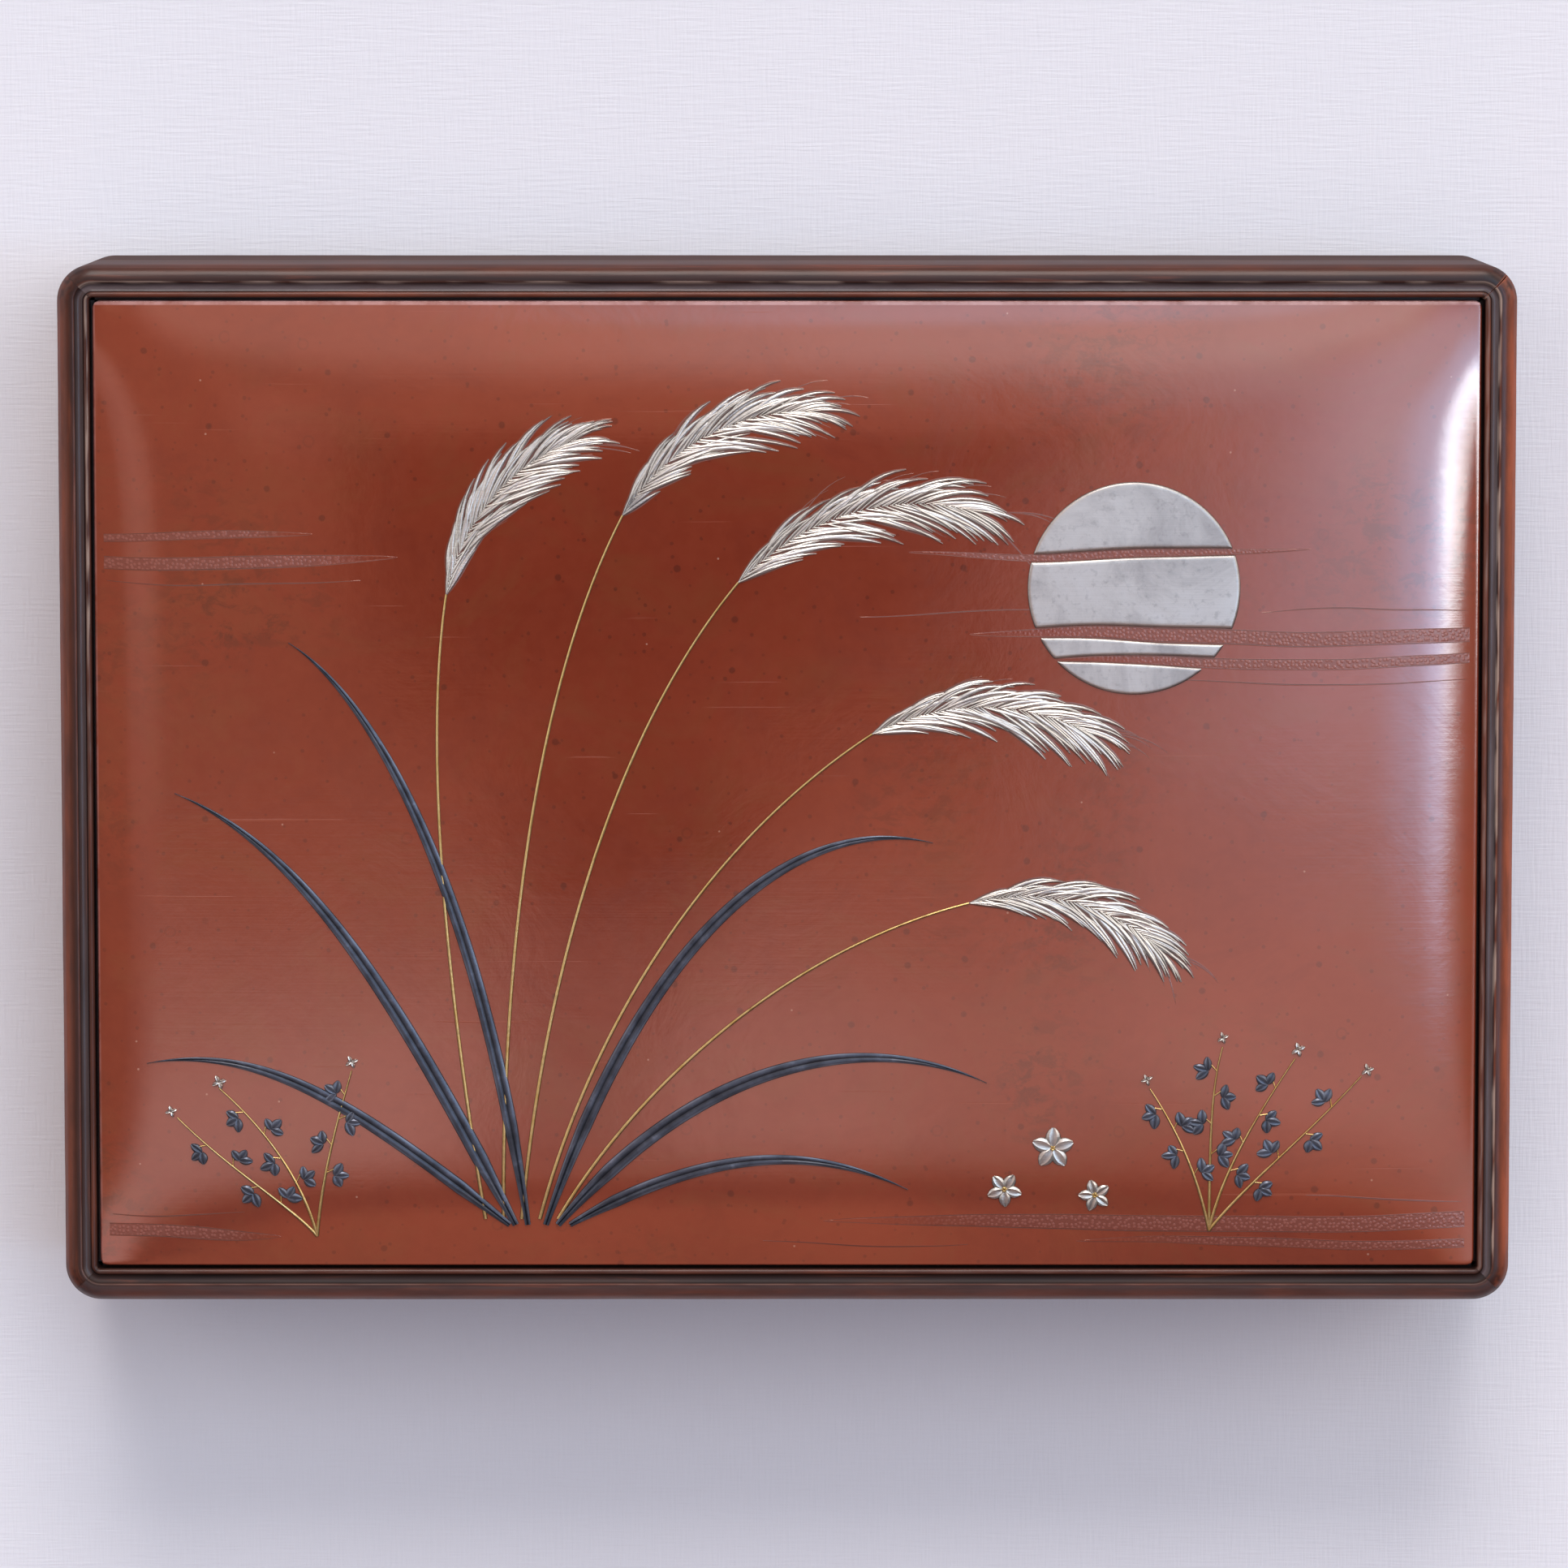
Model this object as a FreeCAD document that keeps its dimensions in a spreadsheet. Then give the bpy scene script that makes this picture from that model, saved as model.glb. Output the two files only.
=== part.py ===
"""Writing box for ink and brushes (suzuribako), as a parametric document.

Frame: +Z up, origin on the floor at the middle of the box. +X runs along the long side, the front is -Y.
All sizes are millimetres and live in the sheet "Dims". A length u below is measured inward from the outer face.

Lid   four moulded rails mitred at the corners carry a domed copper plate on a ledge; a thin board closes the
      lid from below and is nailed up into the ledge.
Base  four mitred walls, a bottom board in a rabbet, four thin liners that stand proud and locate the lid, feet.
Inside a lift-out fitted board with seats for the stone, the water dropper, the ink stick and two brushes.
"""
import FreeCAD, Part
import Sketcher
import math
import os

V = FreeCAD.Vector
doc = FreeCAD.newDocument("writing_box")

# ---------------------------------------------------------------- driving dimensions
DIMS = [
    ("box_length", 240.0), ("box_depth", 172.0), ("corner_rad", 6.0),
    ("foot_high", 3.0), ("part_line", 27.0), ("rail_top", 50.0), ("line_chamfer", 0.35),
    ("wall_thick", 6.0), ("rabbet_u", 3.4), ("rabbet_top", 7.4), ("bottom_thick", 4.0),
    ("lid_wall", 5.8), ("roll_rad", 2.6), ("ridge_in", 3.0), ("cove_in", 4.4), ("cove_rad", 0.85),
    ("bead_in", 5.4), ("seat_level", 45.4), ("tongue_in", 9.0), ("tongue_thick", 2.0),
    ("backing_thick", 3.0), ("backing_in", 5.9),
    ("panel_in", 5.9), ("panel_edge", 48.8), ("panel_thick", 1.2), ("dome_broad", 1.6), ("dome_edge", 3.0),
    ("inlay_high", 0.6),
    ("liner_in", 8.2), ("liner_top", 31.0),
    ("spline_thick", 1.5), ("spline_long", 5.0), ("spline_mid", 3.9), ("spline_high", 10.0),
    ("lid_spline_base", 30.0), ("base_spline_base", 11.0),
    ("foot_side", 22.0), ("foot_inset", 1.2), ("foot_rad", 4.8), ("foot_chamfer", 0.8),
    ("pin_rad", 0.6), ("peg_rad", 1.1), ("peg_long", 9.0),
    ("insert_length", 222.8), ("insert_depth", 154.8), ("insert_thick", 8.0), ("insert_rad", 1.0),
    ("stone_length", 126.0), ("stone_width", 84.0), ("stone_thick", 15.0), ("stone_mid_x", -41.5),
    ("stone_mid_y", 28.0), ("stone_seat", 5.0), ("seat_gap", 0.5),
    ("dropper_side", 52.0), ("dropper_high", 12.0), ("dropper_wall", 1.0), ("dropper_mid_x", 74.0),
    ("dropper_mid_y", 42.0), ("dropper_seat", 4.0), ("dropper_rad", 7.0), ("cover_thick", 1.2),
    ("ink_length", 60.0), ("ink_width", 15.0), ("ink_thick", 9.0), ("ink_mid_x", 74.0), ("ink_mid_y", -1.0),
    ("ink_seat", 4.0),
    ("trough_length", 208.0), ("trough_width", 36.0), ("trough_deep", 6.0), ("trough_mid_y", -53.4),
    ("trough_rad", 6.0),
    ("brush_axis", 16.4), ("rest_wide", 8.0), ("rest_top", 16.0), ("rest_left_x", 8.0), ("rest_right_x", 76.0),
    ("big_y", -61.0), ("big_rad", 3.4), ("big_butt", 98.0), ("big_handle", 118.0), ("big_hair", 28.0),
    ("big_cap_rad", 4.9), ("big_cap_bore", 3.7), ("big_cap_long", 42.0), ("big_cap_over", 9.0),
    ("small_y", -45.0), ("small_rad", 2.8), ("small_butt", 92.0), ("small_handle", 108.0), ("small_hair", 23.0),
    ("small_cap_rad", 4.2), ("small_cap_bore", 3.1), ("small_cap_long", 36.0), ("small_cap_over", 8.0),
]

sheet = doc.addObject("Spreadsheet::Sheet", "Dims")
for row, (alias, value) in enumerate(DIMS, 1):
    sheet.set("A%d" % row, alias)
    sheet.set("B%d" % row, "%.6g" % value)
    sheet.setAlias("B%d" % row, alias)
doc.recompute()


class Q:
    """A size: its text for the expression engine and its present value."""

    def __init__(self, text, value):
        self.text, self.value = text, float(value)

    def _with(self, other, sign, value):
        o = other if isinstance(other, Q) else Q("%.8g" % other, other)
        return Q("(%s %s %s)" % (self.text, sign, o.text), value(self.value, o.value))

    def __add__(self, o):
        return self._with(o, "+", lambda a, b: a + b)

    def __sub__(self, o):
        return self._with(o, "-", lambda a, b: a - b)

    def __mul__(self, o):
        return self._with(o, "*", lambda a, b: a * b)

    def __truediv__(self, o):
        return self._with(o, "/", lambda a, b: a / b)

    def __neg__(self):
        return Q("(0 - %s)" % self.text, -self.value)

    def __radd__(self, o):
        return num(o) + self

    def __rsub__(self, o):
        return num(o) - self


def num(x):
    return x if isinstance(x, Q) else Q("%.8g" % x, x)


def D(alias):
    return Q("Dims." + alias, dict(DIMS)[alias])


# ---------------------------------------------------------------- helpers
nodes = []


def new_body(label):
    body = doc.addObject("PartDesign::Body", label)
    body.Label = label
    nodes.append(body)
    return body


def plane(body, role):
    return [f for f in body.Origin.OriginFeatures if f.Role == role][0]


def bind(obj, prop, q):
    obj.setExpression(prop, num(q).text)


def sketch_on(body, name, role="XY_Plane", at=(0, 0, 0)):
    sk = body.newObject("Sketcher::SketchObject", name)
    sk.AttachmentSupport = [(plane(body, role), "")]
    sk.MapMode = "FlatFace"
    at = [num(a) for a in at]
    sk.AttachmentOffset = FreeCAD.Placement(V(*[a.value for a in at]), FreeCAD.Rotation())
    for axis, a in zip("xyz", at):
        if a.value != 0:
            sk.setExpression("AttachmentOffset.Base." + axis, a.text)
    return sk


def fix_point(sk, geo, end, x, y):
    x, y = num(x), num(y)
    for q, kind, axis in ((x, "DistanceX", -2), (y, "DistanceY", -1)):
        if abs(q.value) < 1e-9:
            sk.addConstraint(Sketcher.Constraint("PointOnObject", geo, end, axis))
        else:
            c = sk.addConstraint(Sketcher.Constraint(kind, -1, 1, geo, end, q.value))
            sk.setExpression("Constraints[%d]" % c, q.text)


def outline(sk, points):
    """A closed outline. Each point is (x, y) or (x, y, radius): with a radius, the run to the next point is an
    arc, left-turning if the radius is above zero and right-turning if below."""
    n = len(points)
    ids, ends = [], []
    for k in range(n):
        a, b = points[k], points[(k + 1) % n]
        pa = V(num(a[0]).value, num(a[1]).value, 0)
        pb = V(num(b[0]).value, num(b[1]).value, 0)
        if len(a) < 3:
            ids.append(sk.addGeometry(Part.LineSegment(pa, pb), False))
            ends.append((1, 2))
            continue
        r = num(a[2]).value
        half = (pb - pa) * 0.5
        left = V(-half.y, half.x, 0).normalize()
        rise = math.sqrt(max(r * r - half.Length ** 2, 0.0))
        turn = 1 if r > 0 else -1
        centre = pa + half + left * (rise * turn)
        first, last = (pa, pb) if r > 0 else (pb, pa)
        a0 = math.atan2(first.y - centre.y, first.x - centre.x)
        a1 = math.atan2(last.y - centre.y, last.x - centre.x)
        if a1 < a0:
            a1 += 2 * math.pi
        ring = Part.Circle(centre, V(0, 0, 1), abs(r))
        ids.append(sk.addGeometry(Part.ArcOfCircle(ring, a0, a1), False))
        ends.append((1, 2) if r > 0 else (2, 1))
    for k in range(n):
        m = (k + 1) % n
        sk.addConstraint(Sketcher.Constraint("Coincident", ids[k], ends[k][1], ids[m], ends[m][0]))
    for k in range(n):
        fix_point(sk, ids[k], ends[k][0], points[k][0], points[k][1])
    for k in range(n):
        if len(points[k]) > 2:
            r = num(points[k][2])
            c = sk.addConstraint(Sketcher.Constraint("Radius", ids[k], abs(r.value)))
            sk.setExpression("Constraints[%d]" % c, r.text if r.value > 0 else (-r).text)


def circle(sk, x, y, r):
    x, y, r = num(x), num(y), num(r)
    g = sk.addGeometry(Part.Circle(V(x.value, y.value, 0), V(0, 0, 1), r.value), False)
    c = sk.addConstraint(Sketcher.Constraint("Radius", g, r.value))
    sk.setExpression("Constraints[%d]" % c, r.text)
    fix_point(sk, g, 3, x, y)


def rect(x0, y0, x1, y1):
    return [(x0, y0), (x1, y0), (x1, y1), (x0, y1)]


def round_rect(cx, cy, w, d, r):
    """Rounded rectangle, anticlockwise from the lower left run."""
    cx, cy, w, d, r = [num(q) for q in (cx, cy, w, d, r)]
    x0, x1, y0, y1 = cx - w / 2, cx + w / 2, cy - d / 2, cy + d / 2
    return [
        (x0 + r, y0), (x1 - r, y0, r), (x1, y0 + r), (x1, y1 - r, r),
        (x1 - r, y1), (x0 + r, y1, r), (x0, y1 - r), (x0, y0 + r, r),
    ]


def pad(body, sk, length, midplane=False, reverse=False, name=None):
    f = body.newObject("PartDesign::Pad", name or sk.Name + "_pad")
    f.Profile = sk
    f.Length = num(length).value
    bind(f, "Length", length)
    f.Midplane = midplane
    f.Reversed = reverse
    sk.Visibility = False
    return f


def pocket(body, sk, length, reverse=False, through=False):
    f = body.newObject("PartDesign::Pocket", sk.Name + "_pocket")
    f.Profile = sk
    if through:
        f.Type = "ThroughAll"
    else:
        f.Length = num(length).value
        bind(f, "Length", length)
    f.Reversed = reverse
    return f


def revolve(body, sk, angle=360.0, reverse=False, axis="V_Axis", groove=False):
    f = body.newObject("PartDesign::Groove" if groove else "PartDesign::Revolution", sk.Name + "_turn")
    f.Profile = sk
    f.ReferenceAxis = (sk, [axis])
    f.Angle = angle
    f.Reversed = reverse
    return f


def edges_where(shape, test):
    return ["Edge%d" % (i + 1) for i, e in enumerate(shape.Edges) if test(e)]


def dress(body, kind, size, test):
    """A Fillet or Chamfer on the tip's edges that pass the test."""
    doc.recompute()
    base = body.Tip
    names = edges_where(base.Shape, test)
    if not names:
        raise RuntimeError(body.Label + ": no edge to " + kind)
    f = body.newObject("PartDesign::" + kind, body.Name + "_" + kind.lower())
    f.Base = (base, names)
    prop = "Radius" if kind == "Fillet" else "Size"
    setattr(f, prop, num(size).value)
    bind(f, prop, size)
    body.Tip = f
    return f


def flat_at(z, tol=1e-4):
    return lambda e: abs(e.BoundBox.ZMin - z) < tol and abs(e.BoundBox.ZMax - z) < tol


def cut_check(body, before, what):
    doc.recompute()
    if not body.Shape.Volume < before - 1e-3:
        raise RuntimeError(body.Label + ": " + what + " cut nothing")


def place(body, x, y, z, turn=0.0):
    x, y, z = num(x), num(y), num(z)
    body.Placement = FreeCAD.Placement(V(x.value, y.value, z.value), FreeCAD.Rotation(V(0, 0, 1), turn))
    for axis, q in (("x", x), ("y", y), ("z", z)):
        if abs(q.value) > 1e-9:
            body.setExpression("Placement.Base." + axis, q.text)


L, W, R = D("box_length"), D("box_depth"), D("corner_rad")
SIDES = [  # name, length of the side, where its outer face lies, turn of the local frame
    ("front", L, (0, -(W / 2)), 0.0), ("right", W, (L / 2, 0), 90.0),
    ("back", L, (0, W / 2), 180.0), ("left", W, (-(L / 2), 0), 270.0),
]
ROOT2 = math.sqrt(0.5)


def spline_slot(body, name, length, base):
    """Slots for the hidden tongues: one across the mitre plane at each end of a rail, in the rail's own frame."""
    before = body.Shape.Volume
    sk = sketch_on(body, name, at=(0, 0, D(base) + D("spline_high")))
    m, a, b = D("spline_mid"), D("spline_thick") * (ROOT2 / 2), D("spline_long") * (ROOT2 / 2)
    for s in (1, -1):
        cx = (length / 2 - m) if s > 0 else -(length / 2 - m)
        pts = [(-1, 1), (1, 1), (1, -1), (-1, -1)]  # (along diagonal, across) signs
        ring = []
        for i, j in pts:
            dx = (a * (-i) + b * j) if s > 0 else (a * i - b * j)
            ring.append((cx + dx, m + a * i + b * j))
        outline(sk, ring)
    pocket(body, sk, D("spline_high"))
    cut_check(body, before, "mitre slot")


def make_rail(label, length, profile, corner, where, turn, tongue=False, slot=None):
    """A side of the case: its profile padded along the straight, and turned 45 degrees round each corner."""
    body = new_body(label)
    sk = sketch_on(body, label + "_profile", "YZ_Plane", (R, 0, 0))
    outline(sk, [tuple([p[0] - R] + list(p[1:])) for p in profile])
    pad(body, sk, length - R * 2, midplane=True)
    for s, tag in ((1, "p"), (-1, "m")):
        end = sketch_on(body, label + "_end_" + tag, "YZ_Plane", (R, 0, (length / 2 - R) * s))
        outline(end, [tuple([p[0] - R] + list(p[1:])) for p in profile])
        revolve(body, end, 45.0, reverse=(s < 0))
    if tongue:
        z0 = D("seat_level") - D("tongue_thick")
        lid, tip = D("bead_in"), D("tongue_in")
        tg = sketch_on(body, label + "_ledge", at=(0, 0, z0))
        outline(tg, [(-(length / 2 - lid), lid), (length / 2 - lid, lid), (length / 2 - tip, tip), (-(length / 2 - tip), tip)])
        pad(body, tg, D("tongue_thick"))
    doc.recompute()
    if slot:
        spline_slot(body, label + "_slot", length, slot)
    place(body, where[0], where[1], 0, turn)
    return body


# ---------------------------------------------------------------- lid rails
top, line = D("rail_top"), D("part_line")
lid_profile = [
    (D("lid_wall"), line), (D("lid_wall"), D("seat_level")), (D("bead_in"), D("seat_level")),
    (D("bead_in"), top - 0.5, D("bead_in") / 2 - D("cove_in") / 2 + 0.04), (D("cove_in"), top - 0.5),
    (D("cove_in"), top - 0.4, -D("cove_rad")), (D("ridge_in"), top - 0.12), (D("ridge_in") - 0.12, top),
    (D("roll_rad"), top, D("roll_rad")), (0, top - D("roll_rad")), (0, line + D("line_chamfer")),
    (D("line_chamfer"), line),
]
for name, length, where, turn in SIDES:
    make_rail("lid_rail_" + name, length, lid_profile, R, where, turn, tongue=True, slot="lid_spline_base")

# ---------------------------------------------------------------- base walls
wall, foot_z = D("wall_thick"), D("foot_high")
base_profile = [
    (wall, D("rabbet_top")), (wall, line), (D("line_chamfer"), line), (0, line - D("line_chamfer")),
    (0, foot_z + 0.5), (0.5, foot_z), (D("rabbet_u"), foot_z), (D("rabbet_u"), D("rabbet_top")),
]
for name, length, where, turn in SIDES:
    make_rail("base_wall_" + name, length, base_profile, R, where, turn, slot="base_spline_base")

# ---------------------------------------------------------------- hidden tongues in the mitres
for label, base in (("lid_mitre_splines", "lid_spline_base"), ("base_mitre_splines", "base_spline_base")):
    tool = new_body(label)
    sk = sketch_on(tool, label + "_plan", at=(0, 0, D(base) + 0.1))
    m, a, b = D("spline_mid"), D("spline_thick") * (ROOT2 / 2), (D("spline_long") - 0.2) * (ROOT2 / 2)
    first = None
    for sx in (1, -1):
        for sy in (1, -1):
            cx = (L / 2 - m) if sx > 0 else -(L / 2 - m)
            cy = (W / 2 - m) if sy > 0 else -(W / 2 - m)
            ring = []
            for i, j in [(-1, -1), (-1, 1), (1, 1), (1, -1)]:
                # the diagonal runs along (sx, sy), across it is (-sy, sx)
                dx = a * (i * sx) + b * (-j * sy)
                dy = a * (i * sy) + b * (j * sx)
                ring.append((cx + dx, cy + dy))
            outline(sk, ring)
    pad(tool, sk, D("spline_high") - 0.2)

# ---------------------------------------------------------------- liners that locate the lid
for name, length, where, turn in SIDES:
    body = new_body("liner_" + name)
    sk = sketch_on(body, "liner_%s_plan" % name, at=(0, 0, D("rabbet_top")))
    o, i = D("wall_thick"), D("liner_in")
    outline(sk, [(-(length / 2 - o), o), (length / 2 - o, o), (length / 2 - i, i), (-(length / 2 - i), i)])
    pad(body, sk, D("liner_top") - D("rabbet_top"))
    z_top = D("liner_top").value
    dress(body, "Chamfer", 0.5, lambda e, z=z_top, n=length.value: flat_at(z)(e) and e.Length > n * 0.8
          and abs(e.BoundBox.Center.y) < 7.0)
    place(body, where[0], where[1], 0, turn)

# ---------------------------------------------------------------- bottom board, pegs, feet
body = new_body("bottom_board")
sk = sketch_on(body, "bottom_plan", at=(0, 0, D("rabbet_top") - D("bottom_thick")))
in_u = D("rabbet_u") + 0.1
outline(sk, round_rect(0, 0, L - in_u * 2, W - in_u * 2, R - in_u))
pad(body, sk, D("bottom_thick"))
peg_u = (D("rabbet_u") + D("wall_thick")) / 2
peg_at = [(sx, sy, k) for sy in (1, -1) for sx in (1, -1) for k in (0, 1)] + [(0, 1, 2), (0, -1, 2)]


def peg_centres():
    out = []
    for sx, sy in ((1, 1), (1, -1), (-1, 1), (-1, -1)):
        out.append(((L / 2 - 60) * sx, (W / 2 - peg_u) * sy))
        out.append(((L / 2 - peg_u) * sx, (W / 2 - 45) * sy))
    for sy in (1, -1):
        out.append((num(0), (W / 2 - peg_u) * sy))
    return out


doc.recompute()
before = body.Shape.Volume
hs = sketch_on(body, "bottom_peg_holes", at=(0, 0, D("rabbet_top")))
for x, y in peg_centres():
    circle(hs, x, y, D("peg_rad"))
pocket(body, hs, D("bottom_thick"))
cut_check(body, before, "peg holes")
# each wall has the other half of its peg holes
for name, length, where, turn in SIDES:
    w = doc.getObject("base_wall_" + name)
    before = w.Shape.Volume
    hs = sketch_on(w, "wall_%s_peg_holes" % name, at=(0, 0, D("rabbet_top") - D("bottom_thick") + D("peg_long")))
    spots = [(length / 2 - (60 if name in ("front", "back") else 45)) * s for s in (1, -1)]
    if name in ("front", "back"):
        spots.append(num(0))
    for x in spots:
        circle(hs, x, peg_u, D("peg_rad"))
    pocket(w, hs, D("peg_long"))
    cut_check(w, before, "peg holes")

body = new_body("bottom_pegs")
sk = sketch_on(body, "pegs_plan", at=(0, 0, D("rabbet_top") - D("bottom_thick")))
for x, y in peg_centres():
    circle(sk, x, y, D("peg_rad"))
pad(body, sk, D("peg_long"))

for fx, fy, tag in ((-1, -1, "front_left"), (1, -1, "front_right"), (-1, 1, "back_left"), (1, 1, "back_right")):
    body = new_body("foot_" + tag)
    sk = sketch_on(body, "foot_%s_plan" % tag)
    side, fr = D("foot_side"), D("foot_rad")
    # local frame: outer corner at the origin, the foot runs inward along +x and +y
    outline(sk, [(fr, 0), (side - 2, 0, num(2)), (side, 2), (side, side - 2, num(2)), (side - 2, side),
                 (2, side, num(2)), (0, side - 2), (0, fr, fr)])
    pad(body, sk, D("foot_high"))
    dress(body, "Chamfer", D("foot_chamfer"), flat_at(0.0))
    fx_at = (L / 2 - D("foot_inset")) * fx
    fy_at = (W / 2 - D("foot_inset")) * fy
    turn = {(-1, -1): 0.0, (1, -1): 90.0, (1, 1): 180.0, (-1, 1): 270.0}[(fx, fy)]
    place(body, fx_at, fy_at, 0, turn)

# ---------------------------------------------------------------- copper plate
PL = D("box_length").value - 2 * D("panel_in").value
PW = D("box_depth").value - 2 * D("panel_in").value
EDGE, BROAD, ROLL = D("panel_edge").value, D("dome_broad").value, D("dome_edge").value


def dome_height(s, t):
    return BROAD * (1 - s * s) * (1 - t * t) + ROLL * (1 - abs(s) ** 10) * (1 - abs(t) ** 7)


def dome_block(length, depth, z0, z_edge):
    """A block with a flat base at z0 and a crowned top that starts at z_edge on all four sides."""
    nx, ny = 41, 31
    grid = []
    for i in range(nx):
        s = -1 + 2 * i / (nx - 1)
        grid.append([V(s * length / 2, (-1 + 2 * j / (ny - 1)) * depth / 2,
                       z_edge + dome_height(s, -1 + 2 * j / (ny - 1))) for j in range(ny)])
    surf = Part.BSplineSurface()
    surf.interpolate(grid)
    crown = surf.toShape()
    a, b = length / 2, depth / 2
    c = [V(-a, -b, z0), V(a, -b, z0), V(a, b, z0), V(-a, b, z0)]
    d = [V(p.x, p.y, z_edge) for p in c]
    faces = [crown, Part.Face(Part.makePolygon([c[0], c[3], c[2], c[1], c[0]]))]
    for k in range(4):
        m = (k + 1) % 4
        faces.append(Part.Face(Part.makePolygon([c[k], c[m], d[m], d[k], c[k]])))
    shell = Part.Shell(Part.makeCompound(faces).Faces)
    shell.sewShape()
    solid = Part.Solid(shell)
    if solid.Volume < 0:
        solid.reverse()
    return solid


def feature(name, shape):
    f = doc.addObject("Part::Feature", name)
    f.Shape = shape
    return f


T = D("panel_thick").value
seat = D("seat_level").value
plate_out = feature("plate_outer", dome_block(PL, PW, seat, EDGE))
plate_in = feature("plate_inner", dome_block(PL - 2 * T, PW - 2 * T, seat - 1.0, EDGE - T))
plate = doc.addObject("Part::Cut", "copper_panel")
plate.Label = "copper_panel"
plate.Base, plate.Tool = plate_out, plate_in
nodes.append(plate)
doc.recompute()

# the skin that the raised inlay fills: between the plate's crown and the same crown a little higher
H = D("inlay_high").value
skin_high = feature("skin_high", dome_block(PL, PW, seat, EDGE + H))
skin = doc.addObject("Part::Cut", "inlay_skin")
skin.Base, skin.Tool = skin_high, plate_out
doc.recompute()


# ---------------------------------------------------------------- inlay: moon, plume grass, leaves, small flowers
def bez(p, t):
    a, b, c, d = p
    u = 1 - t
    return (a[0] * u ** 3 + 3 * b[0] * u * u * t + 3 * c[0] * u * t * t + d[0] * t ** 3,
            a[1] * u ** 3 + 3 * b[1] * u * u * t + 3 * c[1] * u * t * t + d[1] * t ** 3)


def blade(p, half, n=9, grow=0.18):
    """A leaf or stem along a cubic curve: a closed outline that swells to the half width and ends in a point."""
    left, right = [], []
    for k in range(n + 1):
        t = k / n
        x, y = bez(p, t)
        x2, y2 = bez(p, min(t + 1e-3, 1.0))
        x1, y1 = bez(p, max(t - 1e-3, 0.0))
        dx, dy = x2 - x1, y2 - y1
        m = math.hypot(dx, dy)
        w = half * min(1.0, (0.35 + t / grow)) * (1 - t ** 2.4) + 0.06
        left.append((x - dy / m * w, y + dx / m * w))
        right.append((x + dy / m * w, y - dx / m * w))
    return left + right[::-1]


def disc(x, y, r, n=36):
    return [(x + r * math.cos(2 * math.pi * k / n), y + r * math.sin(2 * math.pi * k / n)) for k in range(n)]


def ellipse(x, y, a, b, turn, n=12):
    c, s = math.cos(turn), math.sin(turn)
    out = []
    for k in range(n):
        u, v = a * math.cos(2 * math.pi * k / n), b * math.sin(2 * math.pi * k / n)
        out.append((x + u * c - v * s, y + u * s + v * c))
    return out


MOON = (57.0, 33.0, 17.5)
PLUMES = [  # the stem's curve, the plume's curve, the plume's half width
    ([(-44, -72), (-40, -30), (-28, 10), (-8, 34)], [(-8, 34), (3, 45), (18, 50), (33, 45)], 5.0),
    ([(-47, -72), (-47, -30), (-42, 16), (-27, 45)], [(-27, 45), (-20, 56), (-8, 63), (6, 62)], 4.6),
    ([(-41, -72), (-32, -38), (-12, -8), (14, 9)], [(14, 9), (26, 15), (40, 15), (52, 8)], 4.8),
    ([(-50, -72), (-56, -34), (-60, 6), (-56, 32)], [(-56, 32), (-53, 45), (-45, 54), (-33, 58)], 4.4),
    ([(-38, -72), (-24, -48), (2, -26), (30, -19)], [(30, -19), (42, -16), (54, -19), (63, -28)], 4.2),
]
LEAVES = [
    ([(-45, -73), (-62, -40), (-78, -10), (-101, -1)], 1.35),
    ([(-46, -73), (-70, -54), (-86, -42), (-106, -46)], 1.2),
    ([(-43, -73), (-50, -22), (-66, 14), (-82, 24)], 1.15),
    ([(-40, -73), (-22, -20), (4, -4), (24, -9)], 1.2),
    ([(-38, -73), (-14, -44), (14, -40), (33, -49)], 1.3),
    ([(-36, -73), (-14, -60), (4, -59), (20, -67)], 1.1),
]
SPRIGS = [
    [(-78, -75), (-80, -66), (-86, -57), (-94, -50)], [(-78, -75), (-77, -64), (-74, -54), (-72, -47)],
    [(-78, -75), (-82, -70), (-92, -64), (-101, -55)], [(70, -74), (72, -64), (78, -54), (84, -45)],
    [(70, -74), (76, -66), (86, -58), (95, -48)], [(70, -74), (68, -64), (64, -56), (60, -50)],
    [(70, -74), (70, -60), (70, -50), (72, -43)],
]
FLOWERS = [(44, -60, 3.2), (36, -67, 2.6), (51, -68, 2.4)]
BUDS = [(-94, -49, 1.0), (-72, -45.5, 0.9), (-102, -54, 0.8), (84.5, -43.5, 1.0), (96, -47, 0.9), (59.5, -48.5, 0.8),
        (72, -41.5, 0.8)]


def sprig_leaves(curve):
    """Small leaves in pairs up a sprig: centre and turn of each."""
    out = []
    for k, t in enumerate((0.34, 0.5, 0.66, 0.82)):
        x, y = bez(curve, t)
        x2, y2 = bez(curve, t + 1e-3)
        a = math.atan2(y2 - y, x2 - x)
        side = 1 if k % 2 else -1
        out.append((x - math.sin(a) * 2.3 * side, y + math.cos(a) * 2.3 * side, a + 0.9 * side))
    return out


INLAY = {
    "inlay_moon": [disc(MOON[0], MOON[1], MOON[2])],
    "inlay_plumes": [blade(p, w, 10, 0.35) for _, p, w in PLUMES],
    "inlay_stems": [blade(s, 0.35, 8, 0.05) for s, _, _ in PLUMES] + [blade(s, 0.3, 6, 0.05) for s in SPRIGS],
    "inlay_leaves": [blade(p, w, 10) for p, w in LEAVES],
    "inlay_clover": [ellipse(x, y, 2.3, 1.6, a) for s in SPRIGS for x, y, a in sprig_leaves(s)],
    "inlay_flowers": [disc(x, y, r, 10) for x, y, r in FLOWERS + BUDS],
}


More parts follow.
